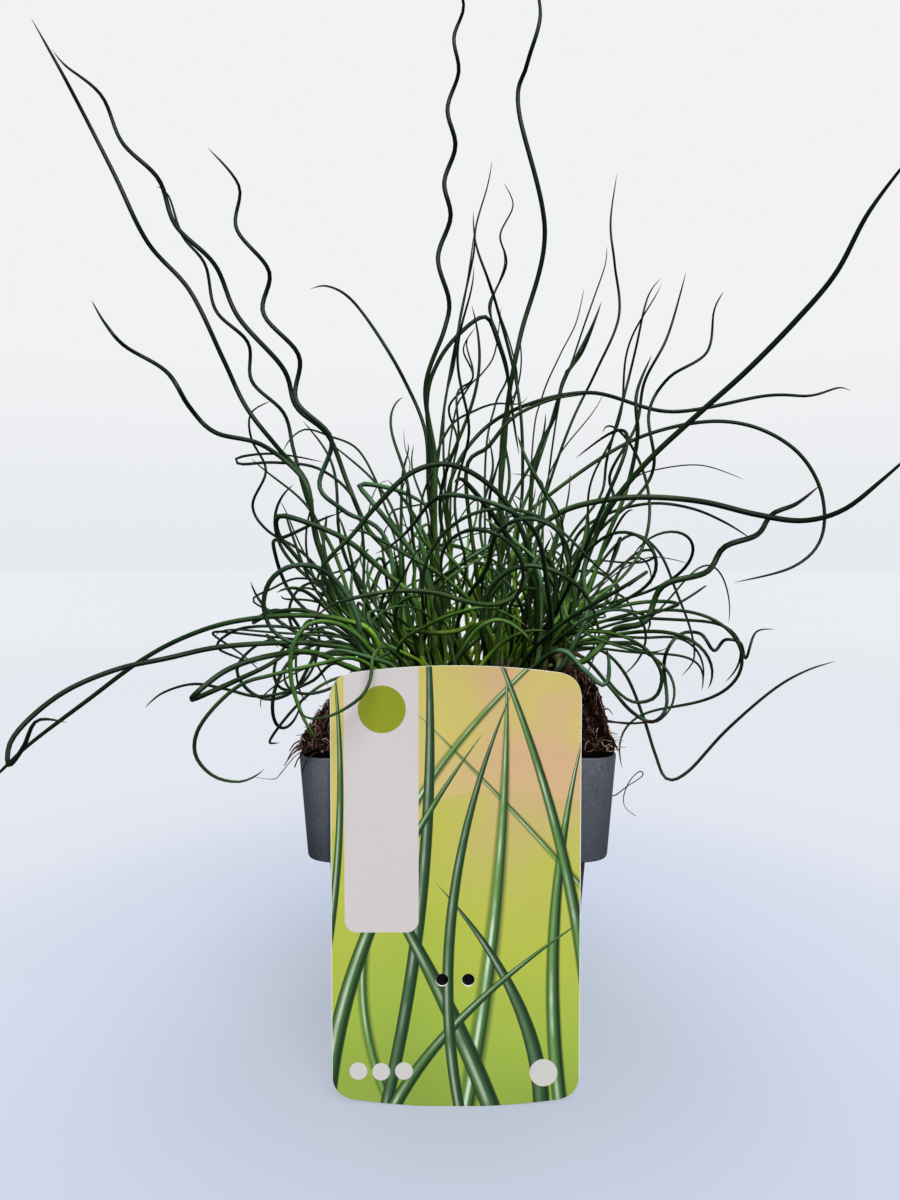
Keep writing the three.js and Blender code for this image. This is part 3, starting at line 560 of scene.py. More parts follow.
def crumbs_group():
    """Uneven crumbs scattered over the upward faces of a mesh."""
    tree, given = new_group("crumbs on a surface", "GeometryNodeTree", {
        "Ground": "Geometry",
        "Per Square Metre": "Float",
        "Smallest": "Float",
        "Largest": "Float",
        "Seed": "Int",
        "Finish": "Material",
    }, {"Crumbs": "Geometry"})
    normal = node(tree, "GeometryNodeInputNormal").outputs[0]
    upward = node(tree, "FunctionNodeCompare", {0: part_of(tree, normal, "Z"), 1: 0.2},
                  data_type="FLOAT", operation="GREATER_THAN").outputs[0]
    spots = node(tree, "GeometryNodeDistributePointsOnFaces", {
        "Mesh": given["Ground"],
        "Selection": upward,
        "Density": given["Per Square Metre"],
        "Seed": given["Seed"],
    })
    ball = node(tree, "GeometryNodeMeshIcoSphere", {"Radius": 1.0, "Subdivisions": 2})
    stretch = random_of(tree, "FLOAT_VECTOR", 0, (0.6, 0.5, 0.35), (1.3, 1.0, 0.8)).outputs[0]
    turn = random_of(tree, "FLOAT_VECTOR", 0, (0, 0, 0), (6.28, 6.28, 6.28)).outputs[0]
    size = random_of(tree, "FLOAT", 2, given["Smallest"], given["Largest"]).outputs[1]
    tone = random_of(tree, "FLOAT", 2, 0.0, 1.0).outputs[1]
    placed = node(tree, "GeometryNodeInstanceOnPoints", {
        "Points": spots.outputs["Points"],
        "Instance": ball.outputs["Mesh"],
        "Rotation": turn,
        "Scale": scaled(tree, stretch, size),
    })
    toned = node(tree, "GeometryNodeStoreNamedAttribute",
                 {"Geometry": placed.outputs[0], "Name": "tone", "Value": tone},
                 data_type="FLOAT", domain="INSTANCE")
    real = node(tree, "GeometryNodeRealizeInstances", {"Geometry": toned.outputs[0]}).outputs[0]
    rough = node(tree, "ShaderNodeTexNoise", {"Scale": 900.0, "Detail": 1.0}).outputs["Color"]
    offset = scaled(tree, vector_of(tree, "SUBTRACT", rough, (0.5, 0.5, 0.5)), 0.0012)
    uneven = node(tree, "GeometryNodeSetPosition", {"Geometry": real, "Offset": offset}).outputs[0]
    node(tree, "NodeGroupOutput", {"Crumbs": realized(tree, uneven, given["Finish"])})
    return tree


CRUMB_COLOURS = [(0.0, 0.003, 0.0018, 0.0014), (0.6, 0.012, 0.006, 0.004), (1.0, 0.05, 0.025, 0.016)]


def make_crumbs():
    ground = in_scene("mix_crumbs", SOIL.data.copy())
    finish = loose_litter("peat_crumb", CRUMB_COLOURS, 0.9, 0.03, 0.0003, 0.8)
    return with_nodes(ground, crumbs_group(), Per_Square_Metre=130000.0, Smallest=0.0004, Largest=0.0011,
                      Seed=7, Finish=finish)


belongs(make_crumbs(), "potting_mix")


# ---- Rush stems ----
# Round leafless stems, up to 2 mm thick and filled with pith, that grow out of one creeping
# rhizome in four tufts and wind like corkscrews. They are yellow green at the foot and darker
# and greyer further up, partly their own colour and partly painted shade on the far, backlit
# stems, and their tips are dry. Lengths are in millimetres.

CROWN_HALF = 14.4
CROWN_ABOVE_SOIL = 3
STEM_SINK = 6
FOOT_LENGTH = 10
TAG_X = -0.6
TAG_WIDTH = 69.4
TAG_LENGTH = 124
TAG_THICKNESS = 0.6
TAG_CROWN = 2.4
TAG_FOOT_Y = -49.6
TAG_LEAN = 0.038
TUFTS = [
    ("front_left", -9.5, -16.5),
    ("front_right", 21, -16.5),
    ("back_left", -18, 14),
    ("back_right", 12.5, 14),
]
FRONT_LEFT, FRONT_RIGHT, BACK_LEFT, BACK_RIGHT = range(4)
WILD_STEMS_PER_TUFT = 24
REACHING_STEMS_PER_BACK_TUFT = 3

# Routes are pairs x, z on the upright plane y = 0 as it is seen from EYE. The
# depths say how far behind that plane the stem runs, from its first pair to its last, and the
# swing how far it winds towards and away from the front: (tuft, radius, swing, depths, route).
EYE = np.array([-2.2, -290, 162])

GUIDED = [
    # Long stems leaning out to the left.
    (FRONT_LEFT, 0.75, 2, (-6, -8, -12), (-36, 136, -45, 157, -48, 176, -57, 187, -67, 200, -74, 215,
     -84, 236, -97, 251, -107, 272, -119, 296, -126, 309, -131, 318)),
    (BACK_LEFT, 0.8, 2, (4, 6, 4), (-20, 148, -29, 162, -35, 176, -41, 191, -51, 200, -55, 212, -69,
     228, -76, 244, -88, 256, -93, 270, -104, 281, -110, 295, -121, 304, -125, 309)),
    (BACK_LEFT, 0.65, 2, (10, 18, 16), (-38, 150, -47, 168, -52, 186, -55, 198, -65, 208, -66, 220, -76,
     230, -79, 244, -86, 253, -90, 265, -94, 268)),
    (FRONT_LEFT, 0.75, 2, (-2, -6, -12), (-22, 156, -36, 167, -44, 175, -40, 190, -51, 202, -50, 216,
     -61, 229, -59, 242, -69, 255, -68, 268, -78, 280)),
    (FRONT_LEFT, 0.75, 3, (-16, -18, -22), (-42, 150, -46, 164, -49, 177, -62, 188, -77, 192, -85, 200,
     -92, 211, -105, 219, -111, 226, -115, 233)),
    # Low arches and loops to the left.
    (FRONT_LEFT, 0.7, 0, (-36, -46, -49), (-28, 122, -37, 130, -47, 131, -53, 124, -54, 113, -51, 102,
     -47.5, 95, -44, 89.5)),
    (FRONT_LEFT, 0.75, 0, (-30, -30, -20, -10), (-27, 127, -37, 132, -52, 133.5, -72, 131.5, -88, 126.5,
     -103, 118.5, -120, 106, -140, 91, -152, 80, -158, 76)),
    (FRONT_LEFT, 0.75, 0, (-30, -40, -60, -75), (-30, 120.5, -44, 124, -58, 124.5, -78, 123, -94, 119.5,
     -110, 116, -126, 109.5, -138, 101, -146, 92, -147, 84, -142, 90, -137, 99, -126, 98)),
    (FRONT_LEFT, 0.75, 0, (-34, -46, -46), (-31, 122, -31.5, 130, -36, 141, -44, 148.5, -53, 149.5, -60,
     145, -62.5, 137, -60, 129, -53, 124.5, -45, 125)),
    (FRONT_LEFT, 0.8, 0, (-28, -38, -26), (-13, 136, -24, 148, -35, 157.5, -47, 163, -57, 165.5, -57.5,
     160, -53, 154, -48, 148, -42, 141)),
    (FRONT_LEFT, 0.85, 0, (-24, -44, -16), (-36, 117, -48, 121.5, -62, 120, -74, 116, -82, 110.5, -86.5,
     106, -80, 108.5, -70, 113, -60, 118, -51, 125, -44, 131)),
    (FRONT_LEFT, 0.6, 0, (-38, -46, -40), (-32, 119, -45, 117.5, -60, 114, -70, 111, -79, 103.5, -85,
     95, -85.5, 87, -80, 80.5, -72, 78.5, -66, 80.5, -62, 84)),
    (FRONT_LEFT, 0.5, 0, (-28, -30, -16), (-38, 118, -47, 112, -57, 108, -66, 107, -76, 109.5, -86, 111,
     -96, 108, -102, 103)),
    (BACK_LEFT, 0.65, 0, (8, 10, 4), (-36, 124, -44, 124, -48, 117, -53, 109, -61, 106, -68, 109, -71.5,
     116, -66, 123, -57, 127)),
    (BACK_LEFT, 0.5, 0, (6, -10, -4), (-30, 140, -30, 156, -33, 171, -44, 180.5, -58, 182.5, -69, 182,
     -70, 184, -61, 185.3, -52, 184.5, -42, 182.5)),
    (BACK_LEFT, 0.5, 2, (16, 26, 20), (-40, 142, -50, 154, -61, 161, -65.5, 169, -61, 180, -65.5, 190,
     -65.5, 198, -59, 202)),
    (BACK_LEFT, 0.45, 0, (18, 22, 14), (-14, 150, -22, 166, -26, 177, -32, 187, -41, 191, -48, 193, -53,
     190, -56, 185)),
    (FRONT_LEFT, 0.5, 0, (-14, -24, -14), (-38, 128, -48, 129, -62, 130, -72, 128.5, -78, 123.5, -72,
     120, -64, 117.5)),
    (BACK_LEFT, 0.42, 0, (24, 16, 6), (-36, 140, -50, 145.5, -60, 142, -66, 138.5, -60, 135, -50,
     133.5)),
    (FRONT_LEFT, 0.5, 0, (-40, -51, -54), (-22, 122.5, -27, 120.5, -28, 113, -31, 107, -38, 102, -45,
     99.5, -50, 100.5, -53, 105)),
    # Tall stems in the middle.
    (BACK_LEFT, 0.65, 2, (10, 22, 28), (-6, 150, -9, 172, -10, 192, -17, 209, -26, 224, -34, 234, -41,
     237.5, -46.5, 236.5)),
    (FRONT_LEFT, 0.75, 1.5, (-6, -6, -14), (-5, 140, -7, 162, -7, 184, -10, 206, -4, 224, -2.5, 233, -6,
     246, -2, 258.5, -4, 269, -0.5, 280, -3, 291, 0.5, 302, -1, 312, 2, 321, 0, 330, 1.5, 338)),
    (FRONT_RIGHT, 0.75, 2, (-12, -18, -28), (11, 138, 15, 156, 14, 174, 16, 200, 20, 222, 27.5, 254, 19,
     291, 21.5, 304, 25.5, 318, 24, 330, 26, 340)),
    (BACK_RIGHT, 0.55, 2, (2, 0, -4), (19, 150, 21, 176, 19.5, 204, 12, 233, 6, 250, 5, 262)),
    (BACK_LEFT, 0.42, 2, (16, 26, 30), (-2, 152, -4, 176, -4, 200, -1, 213, 1, 228, 5, 246, 6, 256, 9.5,
     268, 11, 276)),
    (BACK_RIGHT, 0.42, 3, (10, 18, 20), (10, 150, 14, 172, 16, 195, 16, 212, 10.5, 230, 15.5, 244, 13.5,
     253, 17.5, 262, 14.5, 269)),
    (BACK_LEFT, 0.75, 0, (8, 12, 16, 20), (-8, 156, -8, 180, -9.5, 202, -6, 214, 1, 223, 9, 228, 13,
     220, 16, 210, 18, 196, 20, 184)),
    (BACK_LEFT, 0.42, 3, (4, 14, 8), (-12, 160, -9, 177, 0, 188, -2.5, 200, 5, 209, 2, 218, 6, 225)),
    (BACK_RIGHT, 0.5, 0, (20, 26, 22), (-4, 168, -7, 182, -2, 194, 5, 198.5, 12, 201, 20, 201, 23,
     204)),
    # Arcs in front of the clump.
    (FRONT_RIGHT, 0.8, 0, (-26, -34, -40), (22, 132, 25, 146, 19, 165, 9, 176.5, -3, 182, -15, 179, -26,
     168.5, -34, 159, -43, 150, -46, 141)),
    (FRONT_RIGHT, 0.85, 0, (-28, -42, -60), (26, 128, 25, 143, 17, 158, 9.5, 168.5, 2, 177, -1, 176)),
    (FRONT_RIGHT, 0.75, 0, (-30, -50, -52), (30, 130, 32, 145, 27, 153, 20, 141, 12, 137, 3, 138, -7,
     140.8, -18, 141.5, -29, 140, -40, 137, -47, 132)),
    (FRONT_RIGHT, 0.75, 0, (-34, -44, -38), (8.5, 126, 9, 138, 14, 146, 22, 149.5, 31, 148, 39, 143, 44,
     136, 46, 127)),
    (FRONT_LEFT, 0.55, 0, (-34, -46, -46), (-19, 123, -9, 130.5, 1, 134.5, 10, 136, 18, 133, 25, 128)),
    (FRONT_RIGHT, 0.85, 0, (-30, -32, -26), (31, 120, 30.5, 132, 27, 142, 24.5, 152, 27, 162)),
    (FRONT_RIGHT, 0.7, 0, (-40, -46, -44), (2, 122, 5, 129, 11, 132, 18, 131, 25, 125)),
    (FRONT_LEFT, 0.8, 0, (-30, -34, -24), (-7, 122, -7.5, 136, -12, 150, -20, 161, -28, 171, -31, 175.5,
     -22, 174.5, -13, 171, -5, 165)),
    # Long stems and loops to the right.
    (BACK_RIGHT, 0.85, 0, (-4, -30, -60), (38, 138, 42, 152, 49, 168, 61, 183, 77, 198, 92, 211.5, 107,
     227, 119, 241.5, 128, 259, 138, 273, 143, 279)),
    (BACK_LEFT, 0.65, 2, (-2, 4, 14), (-2, 150, -3, 172, 4, 188, 18, 199, 42, 204.5, 68, 198.5, 98,
     203.5, 112, 203.5, 121, 206, 125, 205)),
    (BACK_RIGHT, 0.65, 0, (10, 12, 0), (6, 142, 16, 160, 32, 174, 52, 187.5, 68, 193.5, 84, 195.5, 98,
     192.5, 110, 184.5, 117, 172, 117, 158, 108, 149, 89, 144)),
    (FRONT_RIGHT, 0.85, 0, (-22, -30, -60), (15, 140, 22, 157, 33, 166.5, 47, 170.5, 62, 171.5, 79, 170,
     96, 166, 111, 164, 124, 167.5, 136, 177, 148, 188)),
    (BACK_RIGHT, 0.55, 0, (6, 2, 8), (34, 140, 38, 158, 48, 166, 62, 169.5, 75, 168, 86, 163.5, 95,
     158)),
    (FRONT_RIGHT, 0.9, 2, (-30, -28, -14), (32, 119, 40, 118, 46, 122.5, 51.5, 129, 61, 131.5, 66.5,
     143, 80.5, 147.5, 86, 155.5, 96.5, 159.5, 101, 166, 109, 169.5, 117, 176)),
    (BACK_RIGHT, 0.55, 0, (4, 6, -8), (38, 122, 47, 122, 55, 114, 61, 100, 65, 88, 69, 79.5, 76, 82, 88,
     95.5, 103, 109, 114, 115.5, 125, 119)),
    (FRONT_RIGHT, 0.55, 4, (-20, -20, -10), (42, 119, 50, 110, 57, 102, 64, 98.5, 68.5, 104, 67.5, 119,
     72, 127, 79, 127.5, 83.5, 122, 87, 125.5, 92, 124.5, 94, 119.5, 97, 128, 104, 129)),
    (BACK_RIGHT, 0.55, 2, (12, 16, 20), (34, 146, 42, 158, 50, 170, 49, 179, 57, 194, 59.5, 208, 66.5,
     222, 72, 242)),
    (FRONT_RIGHT, 0.55, 3, (-4, 0, 6), (38, 148, 46, 161, 58, 172, 63, 182, 61, 198, 67, 209, 79, 217,
     81, 230, 84, 236)),
    (BACK_RIGHT, 0.5, 2, (18, 26, 30), (30, 142, 36, 158, 46, 172, 48, 184, 53, 203, 56.5, 218, 60, 234,
     65, 241)),
    (FRONT_RIGHT, 0.55, 2, (-4, 4, 10), (18, 154, 24, 176, 29, 192, 34, 208, 42, 224, 46, 234)),
    (BACK_RIGHT, 0.5, 3, (22, 30, 34), (24, 146, 28, 170, 36, 194, 44, 211, 51, 228, 49.5, 244, 48, 257,
     50, 273)),
    (FRONT_RIGHT, 0.7, 1, (-14, -10, -10), (42, 140, 48, 158, 54, 173, 57.5, 190, 57, 204, 62, 217)),
    (FRONT_RIGHT, 0.6, 0, (-24, -24, -20), (40, 124, 50, 124.5, 60, 123.5, 66.5, 115, 65, 107, 58, 105,
     52, 109, 47, 116)),
    (BACK_RIGHT, 0.5, 0, (14, 10, 14), (38, 136, 46, 150, 56, 159.5, 65, 154, 71, 141, 76, 128, 77, 119,
     72.5, 113)),
    (FRONT_RIGHT, 0.75, 0, (-38, -50, -50), (33, 122, 41, 116, 46, 111.5, 49, 111, 49.5, 118, 48, 125)),
]

# Finer stems that the solids leave out.
FINE = [
    (BACK_LEFT, 0.35, 0, (20, 24, 20), (-4, 200, -2.5, 231, 0.5, 236, 5, 235, 9, 232.5, 13, 229, 16,
     224, 19, 218, 21, 213, 25, 210, 29, 207)),
    (BACK_RIGHT, 0.4, 2, (14, 22, 26), (9, 180, 12, 200, 16, 210, 13, 222, 10, 231, 13, 238, 15, 245,
     13.5, 252)),
    (BACK_RIGHT, 0.35, 2, (20, 30, 34), (14, 190, 19, 206, 17, 219, 11, 235, 7, 247)),
    (BACK_RIGHT, 0.35, 3, (24, 32, 36), (30, 184, 34, 209, 36, 213, 40, 225, 43.5, 235, 46.5, 244, 47,
     250)),
    (BACK_RIGHT, 0.32, 3, (28, 34, 40), (24, 186, 27, 203, 32.5, 216, 37.5, 226, 40, 237)),
    (FRONT_RIGHT, 0.65, 2, (-10, -4, 2), (24, 176, 31, 197, 34, 209, 40, 218, 46, 234)),
    (FRONT_LEFT, 0.4, 2, (-10, -12, -16), (-2, 172, 0.5, 190, 0, 204, 4.5, 208, 5, 212, 3, 220, 6, 225)),
    (BACK_LEFT, 0.35, 2, (10, 16, 20), (-2, 190, 3, 205, 8, 210.5, 12, 217, 14, 232)),
    (BACK_RIGHT, 0.35, 2, (16, 20, 26), (14, 180, 20, 210, 20, 222, 22, 228)),
    (FRONT_RIGHT, 0.65, 0, (-20, -24, -20), (6, 150, 3, 180, 10, 187.5, 17, 196, 25, 200.5, 33, 203, 42,
     204)),
    (FRONT_LEFT, 0.55, 0, (-20, -22, -22), (-18, 150, -17.5, 177, -15.5, 186, -16, 191)),
    (FRONT_RIGHT, 0.65, 0, (-30, -36, -30), (12, 124, 5, 137, -2, 144, -9, 149, -16, 153, -23, 157, -30,
     160.5, -36, 161)),
    (FRONT_LEFT, 0.55, 0, (-30, -34, -34), (-4, 140, -7, 152, -11, 158, -14, 164, -16, 170, -16, 176)),
    (FRONT_RIGHT, 0.75, 1, (-20, -18, -12), (38, 140, 34, 158, 31, 168, 27, 175, 22, 184, 19, 192)),
    (FRONT_RIGHT, 0.75, 1, (-24, -24, -18), (33, 128, 38, 150, 46, 165, 52, 172, 57, 180)),
    (FRONT_LEFT, 0.65, 0, (-36, -40, -42), (-11, 117, -15, 120, -21, 123, -27, 126.5)),
    (FRONT_LEFT, 0.65, 0, (-36, -42, -46), (-20, 116, -28, 119.5, -35, 121.5, -40, 122, -48, 119)),
    (FRONT_RIGHT, 0.65, 0, (-36, -40, -42), (1, 117, 3, 124, 8, 130, 14, 132, 20, 129, 25, 124)),
    (FRONT_RIGHT, 0.65, 0, (-36, -38, -40), (7, 115, 12, 122, 17, 126, 24, 128.5, 32, 128)),
    (FRONT_RIGHT, 0.75, 0, (-34, -34, -30), (26, 117, 27, 130, 27, 145, 25, 150, 20, 158)),
    (FRONT_RIGHT, 0.7, 0, (-34, -32, -26), (31, 117, 31, 128, 29, 140, 26, 147, 25, 158)),
    (FRONT_RIGHT, 0.75, 0, (-36, -34, -28), (33, 115, 38, 124, 42, 134, 41, 148, 45, 160)),
    (FRONT_RIGHT, 0.4, 0, (-38, -44, -46), (48, 96, 50.5, 100, 54, 110, 52, 120, 47, 126)),
    (BACK_LEFT, 0.5, 2, (14, 20, 26), (-8, 160, -5, 192, -3, 206, -1, 217, 1, 227, 3.5, 240, 5.5, 255)),
    (BACK_RIGHT, 0.26, 0, (0, 4, 10), (30, 140, 46, 166, 56, 177, 64.5, 180.4, 78.4, 181.6, 92.2, 177)),
    (FRONT_RIGHT, 0.24, 0, (-10, -6, 0), (36, 138, 50, 154, 60, 162, 70, 165.5, 82, 167, 93.8, 164.6)),
    (BACK_RIGHT, 0.22, 0, (0, -4, -8), (38, 134, 50, 146, 61, 152, 70, 151.5, 77.4, 149.1)),
    (BACK_LEFT, 0.24, 1, (4, 8, 10), (-14, 150, -18, 170, -15, 181, -16.5, 187, -17, 193)),
    (BACK_RIGHT, 0.34, 1, (10, 12, 16), (30, 150, 52, 190.3, 51.4, 194.8, 52, 198, 53.9, 201.2, 54.5,
     204.4, 54.2, 208.2, 55.1, 212.1, 56.5, 215.9, 56.5, 219.7, 56.2, 223.5, 57.7, 226.6, 59.6, 229.7,
     60.2, 233.5, 59.6, 236, 58.9, 237.9)),
]


def seen_at(x, z, depth):
    """The point that far behind the plane y = 0, on the line of sight through x, z on it."""
    return (np.array([x, 0, z]) - EYE) * (1 - depth / EYE[1]) + EYE


def through(values, place):
    """A smooth curve through evenly numbered values, at places that count them."""
    values = np.asarray(values, float)
    last = len(values) - 1
    i = np.minimum(np.floor(place).astype(int), last - 1)
    t = place - i
    a = values[np.maximum(i - 1, 0)]
    b = values[i]
    c = values[i + 1]
    d = values[np.minimum(i + 2, last)]
    return b + 0.5 * t * (c - a + t * (2 * a - 5 * b + 4 * c - d + t * (3 * (b - c) + d - a)))


STEP = 2


def evenly(points):
    """The same line with a point every STEP along it."""
    lengths = np.concatenate([[0], np.cumsum(np.linalg.norm(np.diff(points, axis=0), axis=1))])
    places = np.arange(0, lengths[-1], STEP)
    return np.stack([np.interp(places, lengths, points[:, axis]) for axis in range(3)], axis=1)


EVEN_STRIDES = (0.7548777, 0.5698403)


def root_of(tuft, index):
    """Where a tuft's stems stand: any first few of these places are evenly spread."""
    room = 2 * (CROWN_HALF - 2)
    x, y = [
        middle + room * ((0.5 + stride * index) % 1 - 0.5)
        for middle, stride in zip(TUFTS[tuft][1:], EVEN_STRIDES)
    ]
    return np.array([x, y, soil_height(x, y) + CROWN_ABOVE_SOIL - STEM_SINK])


POINTS_BETWEEN = 12


def guided_path(stem, root, push):
    """A guided stem. A push moves it along the lines of sight, more the further from its root."""
    _, _, swing, depths, route = stem
    foot = root + (0, 0, FOOT_LENGTH)
    seen = [(point - EYE) * EYE[1] / (EYE[1] - point[1]) + EYE for point in (root, foot)]
    xs = [point[0] for point in seen] + list(route[::2])
    zs = [point[2] for point in seen] + list(route[1::2])
    last = len(xs) - 1
    place = np.arange(POINTS_BETWEEN * last + 1) / POINTS_BETWEEN
    free = np.maximum(0, (place - 1) / (last - 1))
    ahead = np.clip(place - 1, 0, 1)
    laid = np.interp(free * (len(depths) - 1), range(len(depths)), depths) + push * np.minimum(1, 3 * free)
    swung = swing * np.sin(math.pi * place) * np.minimum(1, 2 * free)
    depth = root[1] + (laid - root[1]) * ahead + swung
    plane = np.stack([through(xs, place), np.zeros(len(place)), through(zs, place)], axis=1)
    return evenly((plane - EYE) * (1 - depth / EYE[1])[:, None] + EYE)


MODULUS = 2147483647


def draws_of(tuft, index, attempt):
    """Park and Miller's generator, one for each try at a stem."""
    state = 1 + ((tuft * 131 + index) * 103 + attempt * 7919) % (MODULUS - 1)
    while True:
        state = (state * 16807) % MODULUS
        yield state / MODULUS


def dice(tuft, index, attempt):
    """The generator's draw function, past its first two draws."""
    draws = draws_of(tuft, index, attempt)
    next(draws)
    next(draws)
    return lambda: next(draws)


CLUMP_MIDDLE = (6, 0, 124)
CLUMP_REACH = (53, 52, 54)
OUTSIDE_FROM = 0.66
STIFFNESS = 0.2
CROWNS_MIDDLE_X = 3


def unit(vector):
    """The vector made 1 long."""
    size = math.hypot(*vector)
    return [value / size for value in vector]


def wild_path(root, draw, reaching=False):
    """A stem that goes its own way: it leans, arches over, and winds round that course.

    The further out it stands, the more it leans, and most head to the side that they stand on.
    It bends along the outside of the clump, but a reaching one stays nearer upright, and grows
    on past it.
    """
    aside = (0.8 if reaching else 2.6) * (draw() + draw() - 1)
    right = root[0] - CROWNS_MIDDLE_X
    heading = math.atan2(0.6 * root[1], right) + aside
    spread = min(1.5, 0.3 + math.hypot(right, root[1]) / 17) * (1 - 0.2 * abs(aside))
    lean = 0.05 + 0.4 * draw() if reaching else spread * draw() ** 0.35
    arch = 0.5 * draw() if reaching else 0.1 + 1.2 * draw() ** 2
    curl = 0.45 if reaching else 0.12 + 0.7 * draw() ** 1.5
    turn = 38 + 50 * draw()
    length = 75 + 60 * draw() if reaching else (55 + 75 * draw()) * (0.88 + 0.25 * lean)
    room = 0.62 + 0.8 * draw() ** 2
    hand = -1 if draw() < 0.5 else 1
    phase = 2 * math.pi * draw()
    way = [0, 0, 1]
    points = [list(root)]
    for s in range(0, math.ceil(length), STEP):
        tilt = min(1, s / FOOT_LENGTH) * lean + arch * s / length
        winding = curl * held((s - FOOT_LENGTH) / 25)
        phase += (hand * 2 * math.pi * STEP) / turn
        ahead = math.sin(tilt) + winding * math.cos(phase) * math.cos(tilt)
        beside = winding * math.sin(phase)
        aim = unit([
            ahead * math.cos(heading) - beside * math.sin(heading),
            ahead * math.sin(heading) + beside * math.cos(heading),
            math.cos(tilt) - winding * math.cos(phase) * math.sin(tilt),
        ])
        place = [(p - middle) / reach for p, middle, reach in zip(points[-1], CLUMP_MIDDLE, CLUMP_REACH)]
        outward = unit([p / reach for p, reach in zip(place, CLUMP_REACH)])
        drawn_in = 0 if reaching else 3 * max(0, math.hypot(*place) / room - OUTSIDE_FROM)
        drawn_in *= 0.2 + max(0, sum(a * o for a, o in zip(aim, outward)))
        way = unit([w + STIFFNESS * (a - drawn_in * o - w) for w, a, o in zip(way, aim, outward)])
        points.append([p + STEP * w for p, w in zip(points[-1], way)])
    return np.array(points)


FACET_SWELL = 1.22
THINNEST = 0.42
SHARPEST_BEND = 0.48
LONGEST_SPAN = 16


def taper(share):
    """A stem is full at its foot, and fine over its last quarter."""
    return np.where(share < 0.75, 1.08 - 0.13 * share, 0.982 - 2.6 * (share - 0.75))


def knots_of(path, radius):
    """Where the solid's faceted stem keeps a ring: (point, radius, place along the stem)."""
    last = len(path) - 1
    legs = np.diff(path, axis=0)
    sizes = np.linalg.norm(legs, axis=1)
    turns = np.arccos(np.clip((legs[1:] * legs[:-1]).sum(1) / (sizes[1:] * sizes[:-1]), -1, 1))
    radii = np.maximum(THINNEST, radius * taper(np.arange(last + 1) / last) * FACET_SWELL)
    kept = [0]
    bend = span = 0
    for i in range(1, last):
        bend += turns[i - 1]
        span += STEP
        if bend > SHARPEST_BEND or span > LONGEST_SPAN:
            kept.append(i)
            bend = span = 0
    kept.append(last)
    return path[kept], radii[kept], np.array(kept) * STEP


PROBE = 2.5
CLEARANCE = 0.35
FURTHEST = 4.5
SAME_TUFT_FREE = 30
KEPT_OFF = 0.5
FRONT_Y = -42
FRONT_HALF = 46
FRONT_TOP = 132


def probes_of(knots):
    """Points not more than PROBE apart on the faceted stem: rows of x, y, z, radius, place."""
    rows = np.column_stack([knots[0], knots[1], knots[2]])
    probes = []
    for start, end in zip(rows, rows[1:]):
        count = math.ceil(np.linalg.norm(end[:3] - start[:3]) / PROBE)
        shares = np.arange(count)[:, None] / count
        probes.append(start + shares * (end - start))
    return np.concatenate(probes)


def clear_of_pot(probes):
    """Whether a stem keeps off the mix, the rim, the tag and the ground."""
    x, y, z, radius, at = probes.T
    aside = np.maximum(np.abs(x), np.abs(y))
    room = radius + KEPT_OFF
    if (z < room).any():
        return False
    over_pot = (at > FOOT_LENGTH) & (aside < RIM_HALF + room)
    for i in np.flatnonzero(over_pot & (z < SOIL_TOP)):
        if z[i] < max(POT_HEIGHT, soil_height(x[i], y[i])) + room[i]:
            return False
    face = TAG_FOOT_Y + z * math.tan(TAG_LEAN)
    beside = (np.abs(x - TAG_X) > TAG_WIDTH / 2 + room) | (z > TAG_LENGTH + TAG_CROWN + room)
    return bool((beside | (np.abs(y - face) > room + TAG_THICKNESS)).all())


def clear_of_tag(probes):
    """Whether a stem keeps from hanging before the tag or low over the rim in front."""
    x, y, z, radius, _ = probes.T
    return bool(((y > FRONT_Y + radius) | (np.abs(x) > FRONT_HALF) | (z > FRONT_TOP)).all())


standing = np.zeros((0, 6))


def clear_of_stems(probes, tuft, gap=CLEARANCE, closeness=1.0):
    """Whether a stem keeps that gap from those that stand, but for the feet of its own tuft."""
    low = probes[:, :3].min(0) - FURTHEST
    high = probes[:, :3].max(0) + FURTHEST
    others = standing[((standing[:, :3] > low) & (standing[:, :3] < high)).all(1)]
    if not len(others):
        return True
    apart = ((probes[:, None, :3] - others[None, :, :3]) ** 2).sum(2)
    near = closeness * (probes[:, 3, None] + others[None, :, 3]) + gap
    at_root = (probes[:, 4, None] < SAME_TUFT_FREE) | (others[None, :, 4] < SAME_TUFT_FREE)
    free = (others[None, :, 5] == tuft) & at_root
    return not ((apart < near * near + PROBE * PROBE / 2) & ~free).any()


TRIES = 90
stems = [[] for _ in TUFTS]
taken = [set() for _ in TUFTS]


def plant(tuft, radius, try_at, is_fit, **spacing):
    """The first try that stands clear takes its place. Says whether one did."""
    global standing
    for attempt in range(TRIES):
        place, path = try_at(attempt)
        probes = probes_of(knots_of(path, radius))
        if is_fit(probes) and clear_of_stems(probes, tuft, **spacing):
            standing = np.concatenate([standing, np.column_stack([probes, np.full(len(probes), tuft)])])
            stems[tuft].append((path, radius))
            taken[tuft].add(place)
            return True
    return False


PLACES = 50
ROOTS_TRIED = 6


def plant_guided(stem, places=PLACES, **spacing):
    """A guided stem stands in one of the free places nearest to where its route begins."""
    tuft, radius, _, depths, route = stem
    start = seen_at(route[0], route[1], depths[0])
    free = [place for place in range(places) if place not in taken[tuft]]
    free.sort(key=lambda place: math.hypot(*(root_of(tuft, place) - start)[:2]))

    def try_at(attempt):
        rounds = attempt // ROOTS_TRIED
        push = 2 * math.ceil(rounds / 2) * (1 if rounds % 2 else -1)
        place = free[attempt % ROOTS_TRIED]
        return place, guided_path(stem, root_of(tuft, place), push)

    return plant(tuft, radius, try_at, clear_of_pot, **spacing)


